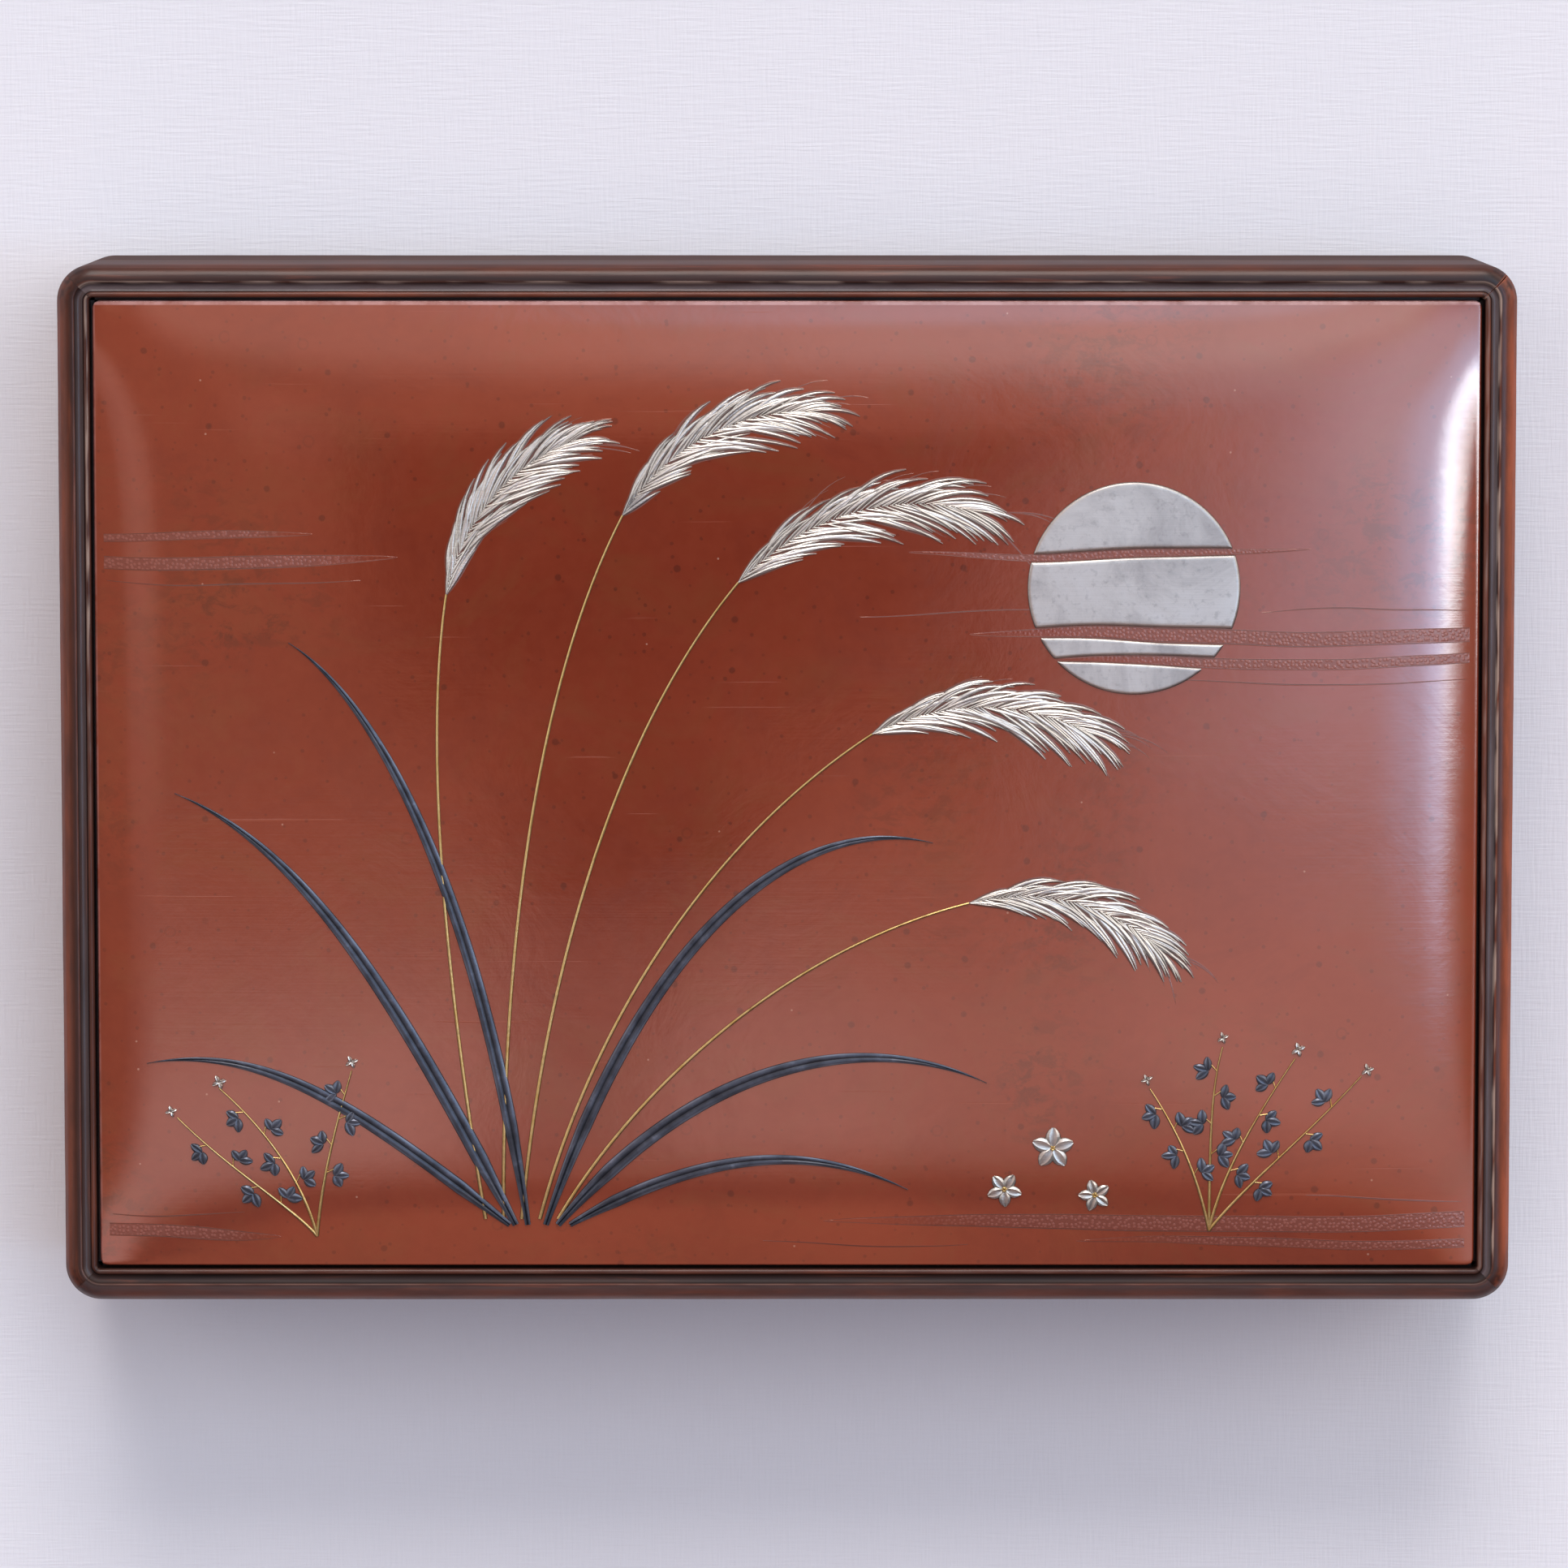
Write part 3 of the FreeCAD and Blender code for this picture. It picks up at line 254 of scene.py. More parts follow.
    # the dark shape of the camera and its stand, straight above the box
    head = n.product(n.band(sx, -0.094, -0.080, 0.040, 0.052), n.band(sy, -0.085, -0.072, 0.068, 0.084),
                     down(n.math("SUBTRACT", sy, sx), 0.122, 0.140))
    neck = n.product(n.band(sx, -0.062, -0.052, -0.012, 0.004), n.band(sy, -0.155, -0.135, -0.075, -0.065))
    stand = n.product(n.band(sx, -0.055, -0.047, -0.032, -0.012), n.band(sy, -0.36, -0.32, -0.13, -0.115), 0.85)
    dark = n.math("MAXIMUM", head, n.math("MAXIMUM", neck, stand))
    clear = n.math("SUBTRACT", 1.0, n.math("MULTIPLY", dark, 0.97))
    v = n.add("VectorMath", operation="SCALE")
    n.put(v.inputs[0], total)
    n.put(v.inputs["Scale"], clear)
    n.put(bg.inputs["Color"], v.outputs[0])
    bg.inputs["Strength"].default_value = 1.0


make_room()


# ------------------------------------------------------------------ materials
def copper(name, stipple=False):
    """Red-brown patinated copper: an oxide skin with a high index, so its sheen is pale over a brown-red body."""
    m = Mat(name, IOR=2.25, Metallic=0.0)
    m.set("Specular Tint", (1.0, 0.62, 0.52))
    co = m.obj()
    broad = m.noise(co, 11.0, 3.0, 0.55, 0.5)
    blotch = m.noise(m.mapped(co, move=(3.1, 0.7, 0)), 62.0, 5.0, 0.66, 0.8)
    mottle = m.noise(co, 420.0, 3.0, 0.6)
    col = m.ramp(broad, [(0.30, (0.186, 0.0275, 0.0120)), (0.50, (0.214, 0.0340, 0.0150)), (0.70, (0.250, 0.043, 0.0190))])
    col = m.mix(m.ramp(blotch, [(0.50, 0.0), (0.70, 0.34)]), col, (0.145, 0.024, 0.0125))
    col = m.mix(m.ramp(mottle, [(0.35, 0.0), (0.75, 0.16)]), col, (0.30, 0.062, 0.030))
    cloud = m.noise(m.mapped(co, scale=(1.0, 1.35, 1.0), move=(0.9, 1.9, 0)), 38.0, 6.0, 0.70, 1.2)
    col = m.mix(m.ramp(cloud, [(0.50, 0.0), (0.66, 0.42)]), col, (0.200, 0.052, 0.020))
    col = m.mix(m.ramp(cloud, [(0.30, 0.30), (0.44, 0.0)]), col, (0.150, 0.022, 0.013))
    # clouds of darker skin, broken into small flecks
    where = m.ramp(m.noise(m.mapped(co, move=(0.32, 0.115, 0)), 17.0, 2.0, 0.5, 0.3), [(0.57, 0.0), (0.70, 1.0)])
    fleck = m.ramp(m.noise(m.mapped(co, scale=(1.0, 1.5, 1.0)), 260.0, 5.0, 0.72, 0.5), [(0.48, 0.0), (0.60, 0.62)])
    col = m.mix(m.math("MULTIPLY", where, fleck), col, (0.088, 0.024, 0.013))
    # small dark spots, rings and a few bright ticks: cells picked by their own random colour
    spots = ((104.0, 1.7, 0.038, 0.034, 0.50, 0.80, (0.058, 0.014, 0.010)),
             (215.0, 5.2, 0.050, 0.036, 0.42, 0.70, (0.066, 0.016, 0.011)),
             (330.0, 9.4, 0.058, 0.036, 0.34, 0.60, (0.074, 0.018, 0.012)),
             (83.0, 3.3, 0.010, 0.007, 0.55, 0.88, (0.52, 0.30, 0.22)))
    for scale, seed, size, soft, dark, pick, tone in spots:
        v = m.voronoi(m.mapped(co, move=(seed, seed * 0.7, 0)), scale)
        sep = m.add("SeparateColor")
        m.put(sep.inputs[0], v.outputs["Color"])
        some = m.ramp(sep.outputs[0], [(pick, 0.0), (pick + 0.01, dark)])
        far = m.math("ADD", v.outputs["Distance"], m.math("MULTIPLY", m.math("SUBTRACT", mottle, 0.5), size * 1.4))
        dot = m.step(far, size, size + soft, 1.0, 0.0)
        col = m.mix(m.math("MULTIPLY", dot, some), col, tone)
    v = m.voronoi(m.mapped(co, move=(7.7, 2.2, 0)), 62.0)
    sep = m.add("SeparateColor")
    m.put(sep.inputs[0], v.outputs["Color"])
    far = m.math("ADD", v.outputs["Distance"], m.math("MULTIPLY", m.math("SUBTRACT", mottle, 0.5), 0.03))
    ring = m.math("MULTIPLY", m.band(far, 0.036, 0.048, 0.054, 0.070), m.ramp(sep.outputs[1], [(0.84, 0.0), (0.85, 0.24)]))
    col = m.mix(ring, col, (0.080, 0.019, 0.012))
    # hairline scratches in three directions
    rough = m.math("ADD", m.math("MULTIPLY", blotch, 0.07), 0.045)
    height = None
    for turn, scale, thr, lift in ((0.06, 26.0, 0.745, 0.55), (0.9, 18.0, 0.765, 0.4), (-0.5, 22.0, 0.76, 0.4)):
        s = m.noise(m.mapped(co, scale=(1.0, 60.0, 1.0), turn=(0, 0, turn)), scale, 2.0, 0.5)
        line = m.ramp(s, [(thr, 0.0), (thr + 0.03, 1.0)])
        col = m.mix(m.math("MULTIPLY", line, lift * 0.45), col, (0.38, 0.11, 0.065))
        height = line if height is None else m.math("ADD", height, line)
    # the plate's edge is painted paler as a highlight, strongest along the back, faint along the left, and broken here
    # and there
    xyz = m.add("SeparateXYZ")
    m.put(xyz.inputs[0], co)
    highlight_break = m.ramp(m.noise(co, 150.0, 4.0, 0.7), [(0.32, 0.15), (0.58, 1.0)])
    rim = m.math("MAXIMUM", m.step(xyz.outputs[1], 0.07925, 0.07950, 0.0, 0.95), m.step(xyz.outputs[0], -0.11385, -0.11360, 0.30, 0.0))
    col = m.mix(m.math("MULTIPLY", rim, highlight_break), col, (0.56, 0.30, 0.28))
    stip = m.attr("stip") if stipple else None
    if stipple:
        cells = m.voronoi(co, 1450.0, jitter=0.75)
        pit = m.step(cells.outputs["Distance"], 0.18, 0.46)
        tone = m.mix(pit, (0.245, 0.074, 0.056), (0.150, 0.036, 0.025))
        col = m.mix(m.math("MULTIPLY", stip, 0.80), col, tone)
    groove = m.attr("groove")
    col = m.mix(m.math("MULTIPLY", groove, 0.9), col, (0.030, 0.010, 0.008))
    m.set("Base Color", col)
    brush = m.noise(m.mapped(co, scale=(1.0, 110.0, 1.0), turn=(0, 0, 0.012)), 30.0, 3.0, 0.7)
    rough = m.math("ADD", rough, m.math("MULTIPLY", brush, 0.03))
    rough = m.math("ADD", rough, m.math("MULTIPLY", groove, 0.3))
    if stipple:
        rough = m.math("ADD", rough, m.math("MULTIPLY", stip, 0.22))
    m.set("Roughness", rough)
    n = m.bump(brush, 0.0000022)
    n = m.bump(height, -0.000003, n)
    n = m.bump(mottle, 0.000004, n)
    n = m.bump(blotch, 0.000016, n)
    if stipple:
        n = m.bump(m.math("MULTIPLY", pit, stip), -0.000022, n)
    m.set("Normal", n)
    return m.mat


def silver(name, tarnish=0.5):
    m = Mat(name, Metallic=1.0)
    co = m.obj()
    patch = m.noise(co, 95.0, 4.0, 0.6, 0.5)
    fine = m.noise(m.mapped(co, scale=(1.0, 6.0, 1.0), turn=(0, 0, 0.5)), 900.0, 3.0, 0.6)
    col = m.ramp(patch, [(0.32, (0.80, 0.76, 0.71)), (0.55, (0.72, 0.68, 0.62)), (0.74, (0.42, 0.40, 0.39))])
    col = m.mix(m.math("MULTIPLY", m.ramp(fine, [(0.45, 0.0), (0.8, 1.0)]), tarnish), col, (0.40, 0.37, 0.36))
    edge = m.attr("groove")
    col = m.mix(m.math("MULTIPLY", edge, 0.9), col, (0.055, 0.045, 0.045))
    m.set("Base Color", col)
    m.set("Roughness", m.math("ADD", m.math("MULTIPLY", patch, 0.22), 0.26))
    n = m.bump(fine, 0.00003)
    m.set("Normal", n)
    return m.mat


def moon_silver(name):
    """Old silver: soft tarnish clouds, fine polishing lines, darker towards its cut edge."""
    m = Mat(name, Metallic=1.0)
    co = m.obj()
    patch = m.noise(co, 52.0, 6.0, 0.66, 1.1)
    brush = m.noise(m.mapped(co, scale=(1.0, 55.0, 1.0)), 60.0, 3.0, 0.65)
    grit = m.noise(co, 900.0, 3.0, 0.6)
    col = m.ramp(patch, [(0.30, (0.66, 0.62, 0.58)), (0.48, (0.60, 0.56, 0.52)), (0.60, (0.46, 0.43, 0.41)), (0.74, (0.29, 0.27, 0.27))])
    col = m.mix(m.math("MULTIPLY", brush, 0.40), col, (0.42, 0.39, 0.36))
    col = m.mix(m.ramp(grit, [(0.55, 0.0), (0.80, 0.55)]), col, (0.25, 0.23, 0.22))
    edge = m.attr("groove")
    col = m.mix(m.math("MULTIPLY", edge, 0.85), col, (0.07, 0.055, 0.05))
    m.set("Base Color", col)
    m.set("Roughness", m.math("ADD", m.math("MULTIPLY", patch, 0.25), 0.30))
    n = m.bump(brush, 0.000012)
    n = m.bump(grit, 0.000008, n)
    n = m.bump(patch, 0.00003, n)
    m.set("Normal", n)
    return m.mat


def dark_alloy(name):
    """Blue-black patinated alloy, with lighter blue-grey painted along the crests as a highlight."""
    m = Mat(name, Metallic=0.55)
    co = m.obj()
    a = m.noise(co, 300.0, 4.0, 0.6)
    b = m.noise(co, 60.0, 2.0)
    col = m.ramp(a, [(0.35, (0.035, 0.040, 0.055)), (0.62, (0.075, 0.085, 0.115)), (0.80, (0.17, 0.19, 0.25))])
    # painted highlight: the crest values lighten the raised edges to blue-grey, broken by noise
    crest = m.attr("crest")
    col = m.mix(m.math("MULTIPLY", crest, m.ramp(b, [(0.3, 0.35), (0.7, 0.85)])), col, (0.33, 0.36, 0.45))
    col = m.mix(m.math("MULTIPLY", m.attr("groove"), 0.9), col, (0.010, 0.010, 0.014))
    m.set("Base Color", col)
    m.set("Roughness", m.math("ADD", m.math("MULTIPLY", a, 0.2), 0.27))
    m.set("Normal", m.bump(a, 0.00004))
    return m.mat


def gold(name):
    m = Mat(name, Metallic=1.0)
    co = m.obj()
    a = m.noise(co, 500.0, 3.0, 0.6)
    col = m.ramp(a, [(0.3, (0.66, 0.44, 0.15)), (0.55, (0.78, 0.56, 0.24)), (0.8, (0.42, 0.26, 0.10))])
    col = m.mix(m.math("MULTIPLY", m.attr("groove"), 0.85), col, (0.06, 0.03, 0.015))
    m.set("Base Color", col)
    m.set("Roughness", m.math("ADD", m.math("MULTIPLY", a, 0.15), 0.28))
    m.set("Normal", m.bump(a, 0.00002))
    return m.mat


def lacquer(name, dark, mid, worn, gloss=0.30, grain_depth=0.000018, use_attr=True, turn=0.0, coat=0.35, level=0.5):
    """Thin lacquer over wood: the grain telegraphs through it, and it wears brown along the edges."""
    m = Mat(name, IOR=1.5)
    m.set("Specular IOR Level", level)
    m.set("Coat Weight", coat)
    m.set("Coat Roughness", 0.16)
    if use_attr:
        co = m.attr("grain", "Vector")
    else:
        co = m.mapped(m.obj(), turn=(0, 0, turn))
    long = m.noise(m.mapped(co, scale=(1.0, 22.0, 22.0)), 34.0, 4.0, 0.62, 0.5)
    pore = m.noise(m.mapped(co, scale=(1.0, 34.0, 34.0), move=(0.4, 0.2, 0)), 130.0, 3.0, 0.6)
    wide = m.noise(m.mapped(co, scale=(1.0, 3.0, 3.0)), 26.0, 3.0, 0.55)
    col = m.ramp(long, [(0.32, dark), (0.60, mid), (0.82, tuple(0.5 * (x + y) for x, y in zip(mid, worn)))])
    col = m.mix(m.ramp(wide, [(0.42, 0.0), (0.75, 0.55)]), col, tuple(x * 0.55 for x in dark))
    # wear brings in the brown of worn lacquer; on the rails its per-side amount also paints light and shade, browner on
    # the right, darker at the back
    wear = m.attr("wear")
    broken = m.ramp(m.noise(m.mapped(co, scale=(1.0, 4.0, 4.0)), 120.0, 4.0, 0.7), [(0.36, 0.62), (0.62, 1.0)])
    w = m.math("MULTIPLY", wear, broken, clamp=True)
    col = m.mix(w, col, worn)
    # pale colour where the lacquer is rubbed through to bare wood, and along the ridges of the right and back rails as
    # a painted highlight
    col = m.mix(m.attr("raw_and_highlight"), col, (0.50, 0.37, 0.30))
    # dust and painted sheen: a grey-lavender tone in the coves and on the front roundover
    dust_and_sheen_amount = m.ramp(m.noise(m.mapped(co, scale=(1.0, 6.0, 6.0)), 70.0, 4.0, 0.65), [(0.30, 0.45), (0.65, 1.0)])
    col = m.mix(m.math("MULTIPLY", m.attr("dust_and_sheen"), dust_and_sheen_amount, clamp=True), col, (0.145, 0.108, 0.112))
    m.set("Base Color", col)
    m.set("Roughness", m.math("ADD", m.math("MULTIPLY", wide, 0.16), m.math("ADD", m.math("MULTIPLY", w, 0.10),
                                                                            m.math("ADD", m.math("MULTIPLY", m.attr("matte"), 0.30), gloss - 0.06))))
    n = m.bump(long, grain_depth)
    n = m.bump(pore, grain_depth * 0.5, n)
    n = m.bump(wide, 0.00006, n)
    m.set("Normal", n)
    return m.mat


def plain_wood(name, dark, light, gloss=0.5, turn=0.0, scale=1.0, coat=0.0):
    m = Mat(name)
    m.set("Coat Weight", coat)
    co = m.mapped(m.obj(), turn=(0, 0, turn))
    ring = m.noise(m.mapped(co, scale=(1.0, 18.0, 18.0)), 22.0 * scale, 5.0, 0.62, 0.8)
    pore = m.noise(m.mapped(co, scale=(1.0, 40.0, 40.0)), 120.0 * scale, 3.0, 0.6)
    col = m.ramp(ring, [(0.3, dark), (0.7, light)])
    col = m.mix(m.ramp(pore, [(0.5, 0.0), (0.75, 0.45)]), col, tuple(x * 0.6 for x in dark))
    m.set("Base Color", col)
    m.set("Roughness", m.math("ADD", m.math("MULTIPLY", ring, 0.15), gloss))
    n = m.bump(ring, 0.00003)
    n = m.bump(pore, 0.00002, n)
    m.set("Normal", n)
    return m.mat


def stone(name):
    m = Mat(name)
    co = m.obj()
    a = m.noise(co, 240.0, 5.0, 0.65)
    b = m.noise(co, 22.0, 3.0, 0.6, 0.5)
    v = m.noise(m.mapped(co, scale=(1.0, 3.5, 1.0), turn=(0, 0, 0.5)), 45.0, 3.0, 0.6, 1.0)
    col = m.ramp(b, [(0.3, (0.030, 0.030, 0.034)), (0.7, (0.060, 0.058, 0.066))])
    col = m.mix(m.ramp(v, [(0.62, 0.0), (0.72, 0.5)]), col, (0.095, 0.085, 0.105))
    col = m.mix(m.ramp(a, [(0.6, 0.0), (0.8, 0.4)]), col, (0.13, 0.13, 0.14))
    # ink dried in the well, up to an uneven line on the slope, and a worn pale oval on the grinding field
    xyz = m.add("SeparateXYZ")
    m.put(xyz.inputs[0], co)
    level = m.math("ADD", xyz.outputs[2], m.math("MULTIPLY", b, 0.0022))
    inked = m.step(level, 0.0205, 0.0219, 1.0, 0.0)
    tide = m.band(level, 0.0208, 0.0212, 0.0214, 0.0220)
    field = m.math("ADD", m.math("ABSOLUTE", m.math("SUBTRACT", xyz.outputs[0], -0.028)),
                   m.math("ABSOLUTE", m.math("MULTIPLY", m.math("SUBTRACT", xyz.outputs[1], 0.028), 1.2)))
    ground = m.math("MULTIPLY", m.step(field, 0.018, 0.046, 0.55, 0.0), m.band(xyz.outputs[2], 0.0228, 0.0234, 0.0242, 0.0246))
    swirl = m.noise(m.mapped(co, scale=(1.0, 5.0, 1.0), turn=(0, 0, 0.25)), 190.0, 4.0, 0.65)
    col = m.mix(m.math("MULTIPLY", ground, swirl), col, (0.16, 0.155, 0.165))
    col = m.mix(inked, col, (0.010, 0.010, 0.011))
    col = m.mix(m.math("MULTIPLY", tide, 0.35), col, (0.11, 0.10, 0.10))
    m.set("Base Color", col)
    m.set("Roughness", m.math("SUBTRACT", m.math("ADD", m.math("MULTIPLY", a, 0.25), 0.42), m.math("MULTIPLY", inked, 0.24)))
    n = m.bump(a, 0.00005)
    m.set("Normal", m.bump(b, 0.0002, n))
    return m.mat


def ink_black(name):
    m = Mat(name)
    co = m.obj()
    a = m.noise(co, 350.0, 4.0, 0.6)
    b = m.noise(m.mapped(co, scale=(1.0, 12.0, 1.0)), 90.0, 3.0, 0.6)
    m.set("Base Color", m.ramp(a, [(0.3, (0.010, 0.010, 0.012)), (0.8, (0.030, 0.028, 0.032))]))
    m.set("Roughness", m.math("ADD", m.math("MULTIPLY", b, 0.3), 0.25))
    n = m.bump(a, 0.00003)
    m.set("Normal", m.bump(b, 0.00004, n))
    return m.mat


def bamboo(name):
    m = Mat(name)
    m.set("Coat Weight", 0.4)
    m.set("Coat Roughness", 0.2)
    co = m.obj()
    fibre = m.noise(m.mapped(co, scale=(1.0, 40.0, 40.0)), 60.0, 4.0, 0.6)
    patch = m.noise(co, 60.0, 3.0, 0.6, 0.4)
    col = m.ramp(fibre, [(0.3, (0.50, 0.32, 0.12)), (0.7, (0.66, 0.47, 0.21))])
    col = m.mix(m.ramp(patch, [(0.5, 0.0), (0.75, 0.5)]), col, (0.33, 0.17, 0.06))
    col = m.mix(m.math("MULTIPLY", m.attr("node"), 0.8), col, (0.20, 0.10, 0.035))
    m.set("Base Color", col)
    m.set("Roughness", m.math("ADD", m.math("MULTIPLY", patch, 0.2), 0.26))
    m.set("Normal", m.bump(fibre, 0.00003))
    return m.mat


def hair(name):
    m = Mat(name)
    co = m.obj()
    a = m.noise(m.mapped(co, scale=(1.0, 60.0, 60.0)), 50.0, 3.0, 0.6)
    tip = m.attr("tip")
    col = m.ramp(a, [(0.3, (0.46, 0.36, 0.23)), (0.7, (0.72, 0.62, 0.46))])
    col = m.mix(tip, col, (0.16, 0.09, 0.05))
    m.set("Base Color", col)
    m.set("Roughness", m.math("ADD", m.math("MULTIPLY", a, 0.2), 0.5))
    m.set("Normal", m.bump(a, 0.00005))
    return m.mat


def bronze(name):
    m = Mat(name, Metallic=0.8)
    co = m.obj()
    a = m.noise(co, 55.0, 4.0, 0.6, 0.5)
    b = m.noise(co, 500.0, 3.0, 0.6)
    col = m.ramp(a, [(0.32, (0.16, 0.07, 0.035)), (0.6, (0.30, 0.14, 0.07)), (0.8, (0.42, 0.24, 0.12))])
    col = m.mix(m.math("MULTIPLY", m.attr("wear"), 0.8), col, (0.60, 0.38, 0.20))
    grime = m.ramp(m.noise(m.mapped(co, move=(0.2, 0.5, 0.1)), 26.0, 5.0, 0.65, 0.8), [(0.52, 0.0), (0.70, 0.55)])
    col = m.mix(grime, col, (0.075, 0.050, 0.038))
    col = m.mix(m.math("MULTIPLY", m.attr("groove"), 0.85), col, (0.035, 0.016, 0.010))
    m.set("Base Color", col)
    m.set("Roughness", m.math("ADD", m.math("MULTIPLY", a, 0.2), 0.28))
    m.set("Normal", m.bump(b, 0.00002))
    return m.mat


def floor_cloth(name):
    """A plain pale floor, with only the faintest tooth."""
    m = Mat(name)
    co = m.obj()
    a = m.noise(co, 6.0, 2.0)
    m.set("Base Color", m.ramp(a, [(0.2, (0.82, 0.82, 0.87)), (0.8, (0.85, 0.85, 0.90))]))
    m.set("Roughness", 0.9)
    wx = m.noise(m.mapped(co, scale=(1.0, 14.0, 1.0)), 150.0, 2.0)
    wy = m.noise(m.mapped(co, scale=(14.0, 1.0, 1.0)), 150.0, 2.0)
    m.set("Normal", m.bump(m.math("ADD", wx, wy), 0.00008))
    return m.mat


COPPER = copper("copper_patina")
STIPPLED = copper("copper_stippled", stipple=True)
SILVER = silver("silver_relief")
MOON_SILVER = moon_silver("silver_moon")
DARK = dark_alloy("dark_alloy")
GOLD = gold("gold_alloy")
FRAME = lacquer("frame_lacquer", (0.0150, 0.0075, 0.0070), (0.036, 0.0135, 0.0100), (0.330, 0.076, 0.030), gloss=0.29, coat=0.0, level=0.34)
WALL = lacquer("wall_lacquer", (0.0150, 0.0075, 0.0070), (0.036, 0.0135, 0.0100), (0.280, 0.070, 0.031), gloss=0.46, coat=0.0, level=0.30)
FOOT = lacquer("foot_lacquer", (0.012, 0.006, 0.005), (0.026, 0.011, 0.008), (0.10, 0.04, 0.02), use_attr=False)
INNER_X = lacquer("inner_lacquer_x", (0.055, 0.019, 0.010), (0.105, 0.038, 0.019), (0.25, 0.12, 0.06), gloss=0.4,
                  use_attr=False, coat=0.2)
INNER_Y = lacquer("inner_lacquer_y", (0.055, 0.019, 0.010), (0.105, 0.038, 0.019), (0.25, 0.12, 0.06), gloss=0.4,
                  use_attr=False, turn=math.pi / 2, coat=0.2)
TRAY = lacquer("tray_lacquer", (0.010, 0.006, 0.005), (0.022, 0.011, 0.008), (0.12, 0.05, 0.03), gloss=0.28,
               grain_depth=0.000008, use_attr=False, coat=0.5)
PALE_WOOD = plain_wood("pale_wood", (0.34, 0.21, 0.10), (0.52, 0.36, 0.20))
BAMBOO = bamboo("bamboo")
STONE = stone("ink_stone")
INK = ink_black("ink")
HAIR = hair("brush_hair")
BRONZE = bronze("dropper_metal")
PIN = gold("pin_brass")


# ------------------------------------------------------------------ mesh helper
def build(name, verts, faces, mat, body=None, slot=None, nodes=(), sharp=35.0, floats=None, vectors=None):
    me = bpy.data.meshes.new(name)
    me.from_pydata([(x * MM, y * MM, z * MM) for x, y, z in verts], [], faces)
    me.update()
    for key, values in (floats or {}).items():
        a = me.attributes.new(key, "FLOAT", "POINT")
        a.data.foreach_set("value", [float(v) for v in values])
    for key, values in (vectors or {}).items():
        a = me.attributes.new(key, "FLOAT_VECTOR", "POINT")
        a.data.foreach_set("vector", [float(c) for v in values for c in v])
    me.materials.append(mat)
    me.shade_smooth()
    me.set_sharp_from_angle(angle=math.radians(sharp))
    ob = bpy.data.objects.new(name, me)
    scene.collection.objects.link(ob)
    if body:
        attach(ob, body)
    if nodes:
        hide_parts(*nodes)
    return ob


class Soup:
    """Gathers many small closed strips into one mesh, with named values per point."""

    def __init__(self, *keys):
        self.v, self.f, self.a = [], [], {k: [] for k in keys}

    def add(self, verts, faces, **values):
        base = len(self.v)
        self.v += verts
        self.f += [[base + i for i in face] for face in faces]
        for k in self.a:
            got = values.get(k, 0.0)
            self.a[k] += list(got) if isinstance(got, (list, tuple)) else [got] * len(verts)

    def make(self, name, mat, **kw):
        return build(name, self.v, self.f, mat, floats=self.a, **kw)


def smooth(e0, e1, x):
    t = min(1.0, max(0.0, (x - e0) / (e1 - e0)))
    return t * t * (3 - 2 * t)


def ripple(x, y, size, seed=0.0):
    return noise.noise(Vector((x / size + seed, y / size - seed * 0.7, seed * 1.3)))


# ------------------------------------------------------------------ the copper plate
def dome(x, y):
    s, t = x / PLATE_X, y / PLATE_Y
    s, t = max(-1.0, min(1.0, s)), max(-1.0, min(1.0, t))
    return PLATE_EDGE + 1.6 * (1 - s * s) * (1 - t * t) + 3.0 * (1 - abs(s) ** 10) * (1 - abs(t) ** 7)


def plate_top(x, y):
    """The crown, with the slight unevenness of a hand-raised plate."""
    s, t = abs(x) / PLATE_X, abs(y) / PLATE_Y
    inside = (1 - s ** 8) * (1 - t ** 8)
    return dome(x, y) + inside * (0.055 * ripple(x, y, 46.0, 1.3) + 0.022 * ripple(x, y, 21.0, 4.1))


def steps(half, fine, coarse, margin):
    """Grid lines from -half to half, closer together within margin of either end."""
    n, m = round(margin / fine), round((half - margin) / coarse)
    pos = [(half - margin) * k / m for k in range(m + 1)] + [half - margin + margin * k / n for k in range(1, n + 1)]
    return [-v for v in reversed(pos[1:])] + pos


